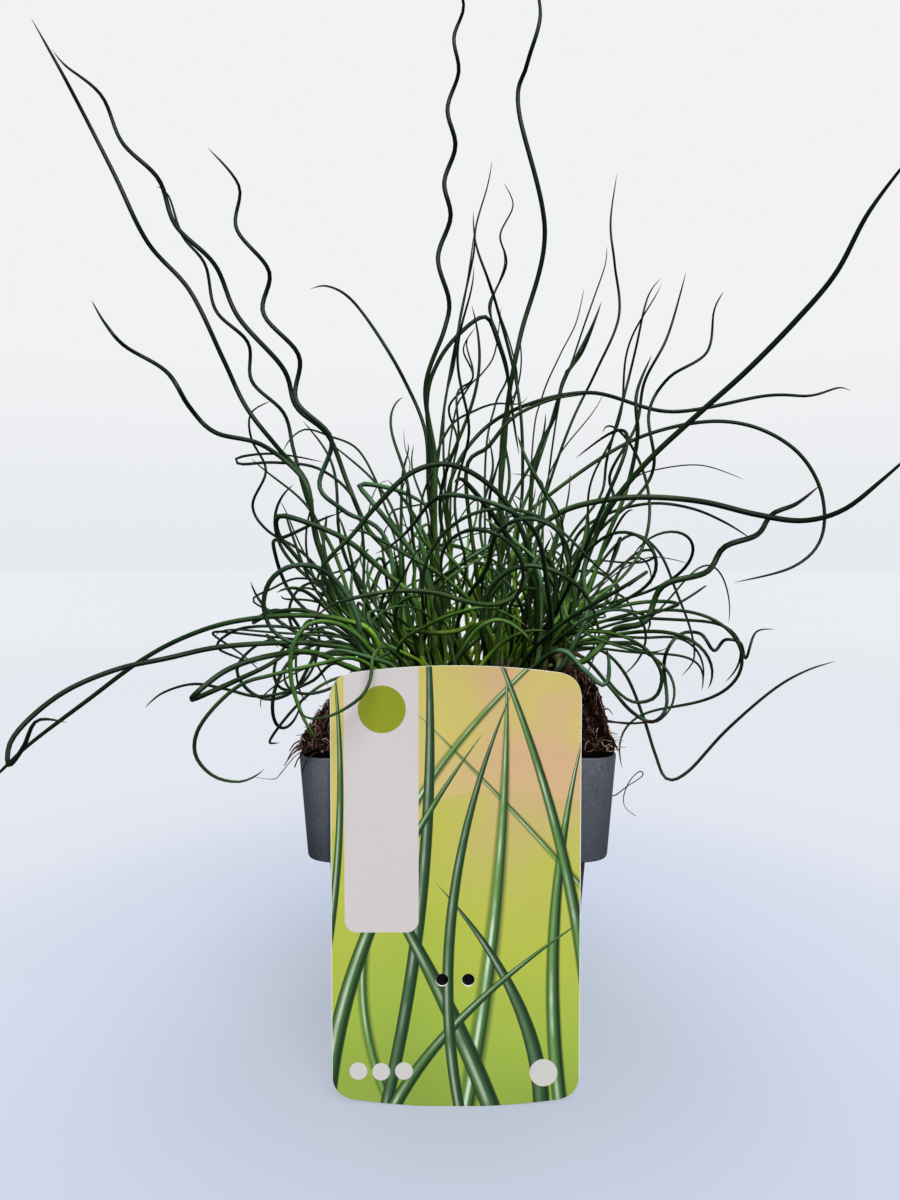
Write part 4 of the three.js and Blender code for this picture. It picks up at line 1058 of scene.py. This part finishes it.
def plant_wild(tuft, index, radius, places=PLACES, reaching=False, **spacing):
    """A wild stem stands in a free place that goes by its number."""
    free = [place for place in range(places) if place not in taken[tuft]]

    def try_at(attempt):
        place = free[(3 * index + attempt) % len(free)]
        return place, wild_path(root_of(tuft, place), dice(tuft, index, attempt), reaching)

    def is_fit(probes):
        return clear_of_pot(probes) and clear_of_tag(probes)

    return plant(tuft, radius, try_at, is_fit, **spacing)


for stem in GUIDED:
    plant_guided(stem)
for index in range(WILD_STEMS_PER_TUFT):
    for tuft in range(len(TUFTS)):
        radius = 0.42 + 0.26 * dice(tuft, index, 0)()
        in_back = TUFTS[tuft][2] > 0
        plant_wild(tuft, index, radius, reaching=in_back and index < REACHING_STEMS_PER_BACK_TUFT)

MORE_PLACES = 120
MORE_STEMS = range(50, 68)
TOUCHING = {"gap": -0.4, "closeness": 0.8}
for stem in FINE:
    plant_guided(stem, MORE_PLACES, **TOUCHING)
for index in MORE_STEMS:
    for tuft in range(len(TUFTS)):
        radius = 0.28 + 0.3 * dice(tuft, index, 0)()
        plant_wild(tuft, index, radius, MORE_PLACES, reaching=index % 9 == 0, **TOUCHING)


def length_of(tree, vector):
    """How long a vector socket is."""
    return node(tree, "ShaderNodeVectorMath", {0: vector}, operation="LENGTH").outputs["Value"]


def own_share(tree, tone, spread):
    """A number from 0 to 1 of each stem's own, drawn from its tone."""
    return math_of(tree, "FRACT", math_of(tree, "MULTIPLY", tone, spread))


def green_stem():
    material, tree, shader = new_material("green_rush_stem")
    tone = attribute(tree, "tone")
    along = attribute(tree, "along")
    place = place_on(tree)

    # Ribs and streaks run along the stem, round its section.
    section = node(tree, "ShaderNodeAttribute", attribute_name="section").outputs["Vector"]
    reach = node(tree, "ShaderNodeCombineXYZ", {"Z": math_of(tree, "MULTIPLY", along, 2.5)}).outputs[0]
    line = vector_of(tree, "ADD", vector_of(tree, "ADD", section, reach), scaled(tree, place, 12.0))
    streaks = noise_of(tree, line, 2.2, 2, 0.6)
    ribs = noise_of(tree, line, 7, 1, 0.4)
    patches = noise_of(tree, place, 60, 3, 0.6)

    # Green goes from fresh at the crown to dark further out, partly the stems' own colour and partly painted
    # shade on the far, backlit stems, and some stems are waxy or dull.
    off_crown = vector_of(tree, "MULTIPLY_ADD", place, (1.5, 1, 1), (-0.0045, 0, -0.1))
    above = ranged(tree, length_of(tree, off_crown), 0.01, 0.14)
    off_tone = math_of(tree, "MULTIPLY", math_of(tree, "SUBTRACT", tone, 0.5), 0.26)
    outward_darkening = math_of(tree, "ADD", above, off_tone)
    fresh = blended(tree, outward_darkening, (0.0, 0.58, 0.76, 0.022), (0.16, 0.35, 0.64, 0.027),
                    (0.34, 0.115, 0.3, 0.036), (0.6, 0.026, 0.074, 0.02), (1.0, 0.004, 0.011, 0.005))
    waxy = blended(tree, outward_darkening, (0.0, 0.3, 0.5, 0.05), (0.3, 0.12, 0.28, 0.11),
                   (0.6, 0.042, 0.106, 0.064), (1.0, 0.005, 0.014, 0.008))
    green = mixed(tree, ranged(tree, own_share(tree, tone, 7.3), 0.45, 0.8), fresh, waxy)
    dull = math_of(tree, "POWER", own_share(tree, tone, 23.1), 1.8)
    green = mixed(tree, math_of(tree, "MULTIPLY", dull, 0.8), green, (0.003, 0.009, 0.003, 1))
    pale = mixed(tree, above, (0.2, 0.3, 0.09, 1), (0.035, 0.062, 0.04, 1))
    green = mixed(tree, ranged(tree, streaks, 0.5, 0.7, 0, 0.6), green, pale)
    # Painted shade: dark patches over the stems stand for shade falling inside the clump.
    green = mixed(tree, ranged(tree, patches, 0.38, 0.6, 0.72, 0), green, (0.004, 0.014, 0.004, 1))

    # Painted shade darkens the heart of the clump and the undersides and takes gloss from the heart, and the
    # tips are dry and brown.
    off_middle = vector_of(tree, "ADD", place, [-p * MM for p in CLUMP_MIDDLE])
    inside = length_of(tree, vector_of(tree, "DIVIDE", off_middle, [p * MM for p in CLUMP_REACH]))
    clump_shade = ranged(tree, inside, 0.4, 0.9, 1, 0, smooth=True)
    green = mixed(tree, math_of(tree, "MULTIPLY", clump_shade, 0.15), green, (0.002, 0.008, 0.002, 1))
    # Painted shade: faces of the stems that look down are darker.
    upward = part_of(tree, node(tree, "ShaderNodeNewGeometry").outputs["Normal"], "Z")
    green = mixed(tree, ranged(tree, upward, -0.6, 0.35, 0.85, 0), green, (0.001, 0.005, 0.001, 1))
    ends = math_of(tree, "ADD", along, math_of(tree, "MULTIPLY", patches, 0.05))
    feed(tree, shader, {
        "Base Color": mixed(tree, ranged(tree, ends, 0.985, 1.0), green, (0.03, 0.018, 0.01, 1)),
        "Roughness": ranged(tree, streaks, 0.3, 0.7, 0.34, 0.5),
        # Painted shade: less gloss deep in the clump.
        "Specular IOR Level": ranged(tree, clump_shade, 0, 1, 0.15, 0.08),
        "Normal": bumped(tree, ribs, 0.00018, 0.5),
    })
    return material


def stem_line(path, radius, tone):
    """A stem's smooth line, with a soft point at its tip."""
    share = np.linspace(0, 1, len(path))
    tapered = radius * np.interp(share, (0, 0.75, 0.9, 1), (1.08, 0.93, 0.74, 0.33))
    return path, tapered * np.sqrt(np.clip((1 - share) / 0.03, 0.02, 1)), tone


STEM_SIDES = 10
TONES_FROM = 400
GREEN = green_stem()
for tuft, (name, _, _) in enumerate(TUFTS):
    lines = [
        stem_line(path, radius, dice(tuft, TONES_FROM + n, 0)())
        for n, (path, radius) in enumerate(stems[tuft])
    ]
    belongs(tubes(f"stems_{name}", lines, STEM_SIDES, GREEN), "rush_stems", f"tuft_{name}")


# ---- Basal sheaths ----
# Each stem grows out of a papery brown sheath, the remains of its leaf, which hugs the lowest
# centimetre or two of it and ends in a ragged edge.

def papery_sheath():
    material, tree, shader = new_material("papery_brown_sheath")
    drawn_out = node(tree, "ShaderNodeMapping", {"Vector": place_on(tree), "Scale": (900, 900, 120)})
    fibres = noise_of(tree, drawn_out.outputs[0], 1, 3)
    tone = math_of(tree, "MULTIPLY", math_of(tree, "ADD", attribute(tree, "tone"), fibres), 0.5)
    brown = blended(tree, tone, (0.25, 0.018, 0.009, 0.005), (0.5, 0.045, 0.024, 0.012),
                    (0.75, 0.11, 0.075, 0.035))
    greening = ranged(tree, attribute(tree, "along"), 0.6, 1.0, 0, 0.6)
    feed(tree, shader, {
        "Base Color": mixed(tree, greening, brown, (0.1, 0.13, 0.03, 1)),
        "Roughness": 0.6,
        "Normal": bumped(tree, fibres, 0.0003, 0.7),
    })
    return material


def sheath_line(path, radius, draw):
    """A sheath round the foot of a stem, wide below and drawn in at its end."""
    count = 5 + int(6 * draw())
    share = np.linspace(0, 1, count)
    wide = radius * 1.08 + 0.45 * (1 - share) ** 1.5 + 0.12
    wide[-1] = radius * 0.9
    return path[:count], wide, draw()


SHEATH_SIDES = 8
SHEATHS_FROM = 700
SHEATHS = [
    sheath_line(path, radius, dice(tuft, SHEATHS_FROM + n, 0))
    for tuft in range(len(TUFTS))
    for n, (path, radius) in enumerate(stems[tuft])
]
belongs(tubes("basal_sheaths", SHEATHS, SHEATH_SIDES, papery_sheath()), "rush_stems")


# ---- Dry roots and dead sheaths ----
# Wiry brown roots and last year's dead sheaths that have worked out of the mix: a stout root and
# a curled one at the right, and a frayed tuft that hangs over the front left corner.

ROOT_SIDES = 7
DRY_ROOTS = [
    (0.7, [(36, -24, 108), seen_at(46, 99.5, -28), seen_at(50.8, 98.5, -30), seen_at(58, 98, -31),
           seen_at(66.4, 99, -33)]),
    (0.28, [(42, -18, 99), (45, -18.5, 99.2), (46.4, -20, 96), (46.1, -22, 89), seen_at(51, 74, -24),
            seen_at(56, 77, -26), seen_at(61, 80.5, -28), seen_at(60, 82, -30), seen_at(57, 79, -31),
            seen_at(55, 74, -31), seen_at(55.5, 70, -30), seen_at(59, 67, -29)]),
    (0.2, [(-41, -40, 100), (-45, -43, 98.6), (-49, -43, 94), (-51.6, -42, 91.4), (-56.8, -42, 91.9)]),
    (0.55, [(-36, -36, 101), (-41, -39.5, 101.5), (-45.5, -41, 100.3), (-47.8, -42, 97)]),
    (0.45, [(-38, -38, 100), (-43, -42, 100.6), (-46, -43, 99), (-48.6, -43, 95.5)]),
    (0.45, [(-35, -38, 100), (-40, -43, 100.3), (-43.5, -46, 99), (-45, -46.8, 96)]),
    (0.4, [(-34, -40, 99), (-39, -44, 99.6), (-41.5, -46.3, 98), (-43, -46.8, 94.5)]),
    (0.4, [(-39, -34, 100), (-43, -37, 101.5), (-46, -39, 101), (-47.6, -40, 98.8)]),
    (0.35, [(-38, -33, 101), (-40, -37, 104), (-41, -39, 107), (-40, -40, 109)]),
    (0.4, [(34, -34, 106), (39, -38, 109.5), (42, -40, 111), (43.5, -41, 109.5)]),
]


def curved(points):
    """A smooth line through points, with a point about every millimetre along it."""
    points = np.array(points, float)
    count = max(8, int(np.linalg.norm(np.diff(points, axis=0), axis=1).sum()))
    place = np.linspace(0, len(points) - 1, count)
    return np.stack([through(points[:, axis], place) for axis in range(3)], axis=1)


def make_roots():
    lines = []
    for n, (radius, points) in enumerate(DRY_ROOTS):
        path = curved(points)
        share = np.linspace(0, 1, len(path))
        knobs = 1 + 0.18 * np.sin(9 * share + n) + 0.1 * np.sin(31 * share + 2 * n)
        lines.append((path, radius * knobs * (1 - 0.7 * share), 0.35 + 0.08 * (n % 5)))
    return tubes("dry_roots", lines, ROOT_SIDES, DRY_FIBRE)


belongs(make_roots(), "rush_stems")


# ---- Plant tag ----
# A thin satin plastic card, crowned at its ends, that stands on the ground and leans on the rim.
# Its front is printed: a pale panel, plain discs, and blades of grass on a soft green ground. Two
# holes were punched in it, and its edges show the white core.

TAG_CORNER = 7
TAG_HOLE_RADIUS = 1.75
TAG_HOLES_X = (-3.8, 3.5)
TAG_HOLES_HEIGHT = 36
TAG_EDGE = 0.08


def bow(start, middle, end, count=14):
    """Points of a quadratic curve, without its start."""
    t = np.linspace(0, 1, count + 1)[1:, None]
    start, middle, end = (np.array(p, float) for p in (start, middle, end))
    return [tuple(p) for p in (1 - t) ** 2 * start + 2 * t * (1 - t) * middle + t ** 2 * end]


def tag_outline():
    """Points x, y of the card's edge, counter-clockwise from its lower left corner."""
    half = TAG_WIDTH / 2
    inner = half - TAG_CORNER
    foot = TAG_CROWN - 0.25 * TAG_CORNER * 0.45
    head = TAG_LENGTH - TAG_CROWN + 0.7
    low = TAG_CORNER + TAG_CROWN
    high = TAG_LENGTH - TAG_CORNER - TAG_CROWN
    outline = [(-half, low)]
    outline += bow(outline[-1], (-half, TAG_CROWN), (-inner, foot))
    outline += bow(outline[-1], (0, -TAG_CROWN * 0.9), (inner, foot), 30)
    outline += bow(outline[-1], (half, TAG_CROWN), (half, low))
    outline += [(half, high)]
    outline += bow(outline[-1], (half, TAG_LENGTH - TAG_CROWN), (inner, head))
    outline += bow(outline[-1], (0, TAG_LENGTH + TAG_CROWN * 0.8), (-inner, head), 30)
    outline += bow(outline[-1], (-half, TAG_LENGTH - TAG_CROWN), (-half, high))
    return outline


def rounded_box(tree, x, y, left, right, bottom, top, radius):
    """1 inside a box with rounded corners, on coordinates in millimetres."""
    middle = ((left + right) / 2, (bottom + top) / 2)
    reach = ((right - left) / 2 - radius, (top - bottom) / 2 - radius)
    past = []
    for value, centre, half in zip((x, y), middle, reach):
        off = math_of(tree, "ABSOLUTE", math_of(tree, "SUBTRACT", value, centre))
        beyond = math_of(tree, "MAXIMUM", math_of(tree, "SUBTRACT", off, half), 0)
        past.append(math_of(tree, "POWER", beyond, 2))
    distance = math_of(tree, "SQRT", math_of(tree, "ADD", *past))
    return ranged(tree, distance, radius + 0.06, radius - 0.06)


def disc(tree, x, y, centre_x, centre_y, radius):
    """1 inside a disc."""
    sides = (centre_x - radius, centre_x + radius, centre_y - radius, centre_y + radius)
    return rounded_box(tree, x, y, *sides, radius)


BLADE_SOCKETS = ("X", "Y", "Foot X", "Foot Y", "Lean", "Bend", "Width", "Height", "Blur")


def blade_group():
    """One printed grass blade that bends and tapers upwards: its mask, and the place across it."""
    tree, given = new_group("printed blade", "ShaderNodeTree", dict.fromkeys(BLADE_SOCKETS, "Float"),
                            {"Mask": "Float", "Across": "Float"})
    above_foot = math_of(tree, "SUBTRACT", given["Y"], given["Foot Y"])
    share = math_of(tree, "DIVIDE", above_foot, given["Height"])
    lean = math_of(tree, "MULTIPLY", given["Lean"], share)
    bend = math_of(tree, "MULTIPLY", given["Bend"], math_of(tree, "MULTIPLY", share, share))
    centre = math_of(tree, "ADD", given["Foot X"], math_of(tree, "ADD", lean, bend))
    risen = math_of(tree, "MAXIMUM", share, 0)
    narrowed = math_of(tree, "SUBTRACT", 1, math_of(tree, "POWER", risen, 2.2))
    half = math_of(tree, "MULTIPLY", given["Width"], math_of(tree, "MAXIMUM", narrowed, 0.001))
    across = math_of(tree, "DIVIDE", math_of(tree, "SUBTRACT", given["X"], centre), half)
    outer = math_of(tree, "ADD", 1.05, given["Blur"])
    inner = math_of(tree, "SUBTRACT", 0.93, given["Blur"])
    inside = ranged(tree, math_of(tree, "ABSOLUTE", across), outer, inner)
    mask = math_of(tree, "MULTIPLY", inside, ranged(tree, share, 1.0, 0.99))
    node(tree, "NodeGroupOutput", {"Mask": mask, "Across": across})
    return tree


BLADE = blade_group()

# Foot x and y, lean and bend over its height, half width, height, blur, and depth of its green.
PRINTED_BLADES = [
    (-36.5, 40, 16, -14, 1.2, 92, 0.05, 0.7),
    (44, 52, -52, -6, 1.1, 62, 0.6, 0.1),
    (-12, 84, 38, 26, 1.3, 66, 0.5, 0.1),
    (-12, 40, 16, -13, 1.8, 110, 0, 1.0),
    (2, -6, 26, -14, 2.4, 132, 0.35, 0.15),
    (-36, 2, 10, 34, 2.5, 104, 0, 0.5),
    (30, -4, -16, 22, 2.1, 112, 0.1, 0.3),
    (12, -6, -30, -12, 2.9, 84, 0, 0.8),
    (24, -6, 4, -34, 2.4, 70, 0, 1.0),
    (-20, -6, 26, 34, 2.2, 62, 0, 0.6),
    (38, 16, -8, -26, 1.9, 128, 0.1, 0.5),
    (-2, 26, -4, 22, 1.6, 92, 0, 0.9),
]
PANEL = (-30.9, -10.3, 49.5, 160, 3.5)
PALE_INK = (0.56, 0.55, 0.54, 1)
# Middle x and y, radius and colour.
DISCS = [
    (-20.4, 112, 6.6, (0.235, 0.275, 0.014, 1)),
    (-27.3, 10, 2.5, PALE_INK),
    (-20.9, 9.8, 2.5, PALE_INK),
    (-14.5, 10, 2.5, PALE_INK),
    (24.6, 9.5, 3.9, PALE_INK),
]


def printed_blade(tree, x, y, gleam, sizes, depth):
    """One blade of the picture: (its mask, its colour)."""
    drawn = node(tree, "ShaderNodeGroup", dict(zip(BLADE_SOCKETS, (x, y, *sizes))), node_tree=BLADE).outputs
    across = ranged(tree, drawn["Across"], -1, 1)
    fade = 1 - 0.55 * depth
    inked = blended(tree, across, (0.0, 0.01, 0.035 * fade, 0.012),
                    (0.25, 0.13 * fade, 0.31 * fade, 0.05), (0.54, 0.08 * fade, 0.21 * fade, 0.04),
                    (0.8, 0.01, 0.03, 0.014), (1.0, 0.02, 0.06, 0.012))
    off_streak = math_of(tree, "ABSOLUTE", math_of(tree, "SUBTRACT", across, 0.38))
    streak = math_of(tree, "MULTIPLY", ranged(tree, off_streak, 0.16, 0.03), gleam)
    return drawn["Mask"], mixed(tree, streak, inked, (0.62 * fade, 0.74 * fade, 0.6 * fade, 1))


def printed_card():
    material, tree, shader = new_material("printed_plant_tag")
    place = place_on(tree)
    x = math_of(tree, "SUBTRACT", math_of(tree, "MULTIPLY", part_of(tree, place, "X"), 1000), TAG_X)
    y = math_of(tree, "MULTIPLY", part_of(tree, place, "Z"), 1000 / math.cos(TAG_LEAN))

    # Soft ground: green below, yellow above, and warmer towards the upper right.
    soft = noise_of(tree, place, 22, 2, 0.4)
    rise = math_of(tree, "ADD", math_of(tree, "DIVIDE", y, TAG_LENGTH), math_of(tree, "MULTIPLY", soft, 0.6))
    ground = blended(tree, rise, (0.2, 0.22, 0.32, 0.05), (0.5, 0.31, 0.43, 0.06),
                     (0.75, 0.42, 0.48, 0.065), (1.0, 0.42, 0.46, 0.065), (1.4, 0.54, 0.48, 0.13))
    uneven = math_of(tree, "ADD", y, math_of(tree, "MULTIPLY", soft, 30))
    upper = ranged(tree, uneven, 58, 122, smooth=True)
    warmth = math_of(tree, "MULTIPLY", upper, ranged(tree, x, -20, 16, smooth=True))
    glow = ranged(tree, noise_of(tree, place, 40, 1), 0.42, 0.58)
    warm = mixed(tree, glow, (0.6, 0.38, 0.24, 1), (0.56, 0.46, 0.15, 1))
    picture = mixed(tree, math_of(tree, "MULTIPLY", warmth, 0.9), ground, warm)

    # Blades of grass, then the panel and the discs over them.
    gleam = ranged(tree, noise_of(tree, place, 70, 2), 0.42, 0.6, 0.15, 1)
    for *sizes, depth in PRINTED_BLADES:
        mask, inked = printed_blade(tree, x, y, gleam, sizes, depth)
        picture = mixed(tree, mask, picture, inked)
    picture = mixed(tree, rounded_box(tree, x, y, *PANEL), picture, (0.575, 0.54, 0.555, 1))
    for *sizes, ink in DISCS:
        picture = mixed(tree, disc(tree, x, y, *sizes), picture, ink)

    # The print ends a little inside the edge of the front.
    forward = part_of(tree, node(tree, "ShaderNodeNewGeometry").outputs["Normal"], "Y")
    inset = rounded_box(tree, x, y, -34.5, 34.5, -1, 126, 6)
    printed = math_of(tree, "MULTIPLY", ranged(tree, forward, -0.8, -0.95), inset)
    grain = grain_of(tree, 0.0005, 0.02)
    feed(tree, shader, {
        "Base Color": mixed(tree, printed, (0.74, 0.76, 0.74, 1), picture),
        "Roughness": ranged(tree, grain["Blotches"], 0.3, 0.7, 0.36, 0.48),
        "Specular IOR Level": 0.35,
        "Normal": bumped(tree, grain["Height"], 0.00004, 0.4),
    })
    return material


def make_tag():
    """The card, cut flat with its holes, and then stood up to lean back on the rim."""
    curve = bpy.data.curves.new("plant_tag", "CURVE")
    curve.dimensions = "2D"
    curve.fill_mode = "BOTH"
    curve.extrude = (TAG_THICKNESS / 2 - TAG_EDGE) * MM
    curve.bevel_depth = TAG_EDGE * MM
    curve.bevel_resolution = 2
    curve.offset = -TAG_EDGE * MM
    outlines = [tag_outline()]
    for x in TAG_HOLES_X:
        outlines.append([
            (x + TAG_HOLE_RADIUS * math.cos(a), TAG_HOLES_HEIGHT + TAG_HOLE_RADIUS * math.sin(a))
            for a in np.linspace(0, -2 * math.pi, 40, endpoint=False)
        ])
    for outline in outlines:
        if math.dist(outline[0], outline[-1]) < 0.01:
            outline.pop()
        spline = curve.splines.new("POLY")
        spline.points.add(len(outline) - 1)
        for point, (x, y) in zip(spline.points, outline):
            point.co = (x * MM, y * MM, 0, 1)
        spline.use_cyclic_u = True
    flat = in_scene("flat_tag", curve)
    depsgraph = bpy.context.evaluated_depsgraph_get()
    mesh = bpy.data.meshes.new_from_object(flat.evaluated_get(depsgraph))
    bpy.data.objects.remove(flat)
    lean = math.pi / 2 - TAG_LEAN
    for vertex in mesh.vertices:
        x, up, out = vertex.co
        out -= TAG_THICKNESS / 2 * MM
        vertex.co = (
            x + TAG_X * MM,
            up * math.cos(lean) - out * math.sin(lean) + TAG_FOOT_Y * MM,
            up * math.sin(lean) + out * math.cos(lean),
        )
    mesh.materials.clear()
    mesh.materials.append(printed_card())
    return in_scene("plant_tag", mesh)


belongs(make_tag(), "tag_plastic", "label")


# ---- Studio ----
# A pale blue-white floor, with a painted shadow close round the pot and a glow that only the
# camera sees, so that shadows on it stay faint, a white sky that greys towards the horizon, one
# broad soft light high up in front, a little to the right, and two weak ones low behind, which give no
# gloss.

def pale_floor():
    material, tree, shader = new_material("pale_floor")
    away = math_of(tree, "DIVIDE", length_of(tree, place_on(tree)), 1.2)
    # Painted shadow: the floor is darker close round the pot and grows paler further out.
    pale = blended(tree, away, (0.04, 0.48, 0.53, 0.62), (0.1, 0.583, 0.643, 0.785),
                   (0.16, 0.635, 0.68, 0.785), (0.2, 0.694, 0.727, 0.815), (0.27, 0.72, 0.748, 0.81),
                   (0.57, 0.72, 0.745, 0.8), (0.83, 0.734, 0.756, 0.8), (1.0, 0.757, 0.78, 0.814))
    seen = node(tree, "ShaderNodeLightPath").outputs["Is Camera Ray"]
    feed(tree, shader, {
        "Base Color": mixed(tree, 0.87, pale, (0, 0, 0, 1)),
        "Emission Color": pale,
        "Emission Strength": math_of(tree, "MULTIPLY", seen, 0.85),
        "Roughness": 0.8,
        "Specular IOR Level": 0.1,
    })
    return material


FLOOR_REACH = 3000
FLOOR_HEIGHT = -0.1


corners = [(x * FLOOR_REACH, y * FLOOR_REACH, FLOOR_HEIGHT) for x, y in [(-1, -1), (1, -1), (1, 1), (-1, 1)]]
mesh_object("floor", corners, [(0, 1, 2, 3)], pale_floor())

# Name, strength, and where it comes from.
LIGHTS = [
    ("front_light", 4.9, (0.2, -0.85, 1)),
    ("back_left_light", 2.5, (-0.75, 0.8, 0.35)),
    ("back_right_light", 2.5, (0.75, 0.8, 0.35)),
]
for name, energy, way in LIGHTS:
    light = bpy.data.lights.new(name, "SUN")
    light.energy = energy
    light.angle = math.radians(38)
    light.color = (1, 0.99, 0.97)
    lamp = in_scene(name, light)
    lamp.rotation_euler = Vector(way).to_track_quat("Z", "Y").to_euler()
    lamp.visible_glossy = name == "front_light"

world = bpy.data.worlds.new("studio")
world.use_nodes = True
sky = world.node_tree
sky.nodes.clear()
way = node(sky, "ShaderNodeTexCoord").outputs["Generated"]
risen = ranged(sky, part_of(sky, way, "Z"), 0.0, 0.17)
white = mixed(sky, risen, (0.8, 0.825, 0.86, 1), (0.88, 0.885, 0.9, 1))
seen = node(sky, "ShaderNodeBackground", {"Color": white, "Strength": 1.0})
glow = node(sky, "ShaderNodeBackground", {"Color": (0.96, 0.98, 1, 1), "Strength": 0.06})
chosen = node(sky, "ShaderNodeMixShader", {
    0: node(sky, "ShaderNodeLightPath").outputs["Is Camera Ray"],
    1: glow.outputs[0],
    2: seen.outputs[0],
})
node(sky, "ShaderNodeOutputWorld", {"Surface": chosen.outputs[0]})
bpy.context.scene.world = world
bpy.context.scene.view_settings.view_transform = "Standard"

CAMERA_TILT = 4.64
lens = bpy.data.cameras.new("camera")
lens.lens = 27
lens.sensor_width = 36
camera = in_scene("camera", lens)
camera.location = EYE * MM
camera.rotation_euler = (math.radians(90 - CAMERA_TILT), 0, 0)
bpy.context.scene.camera = camera
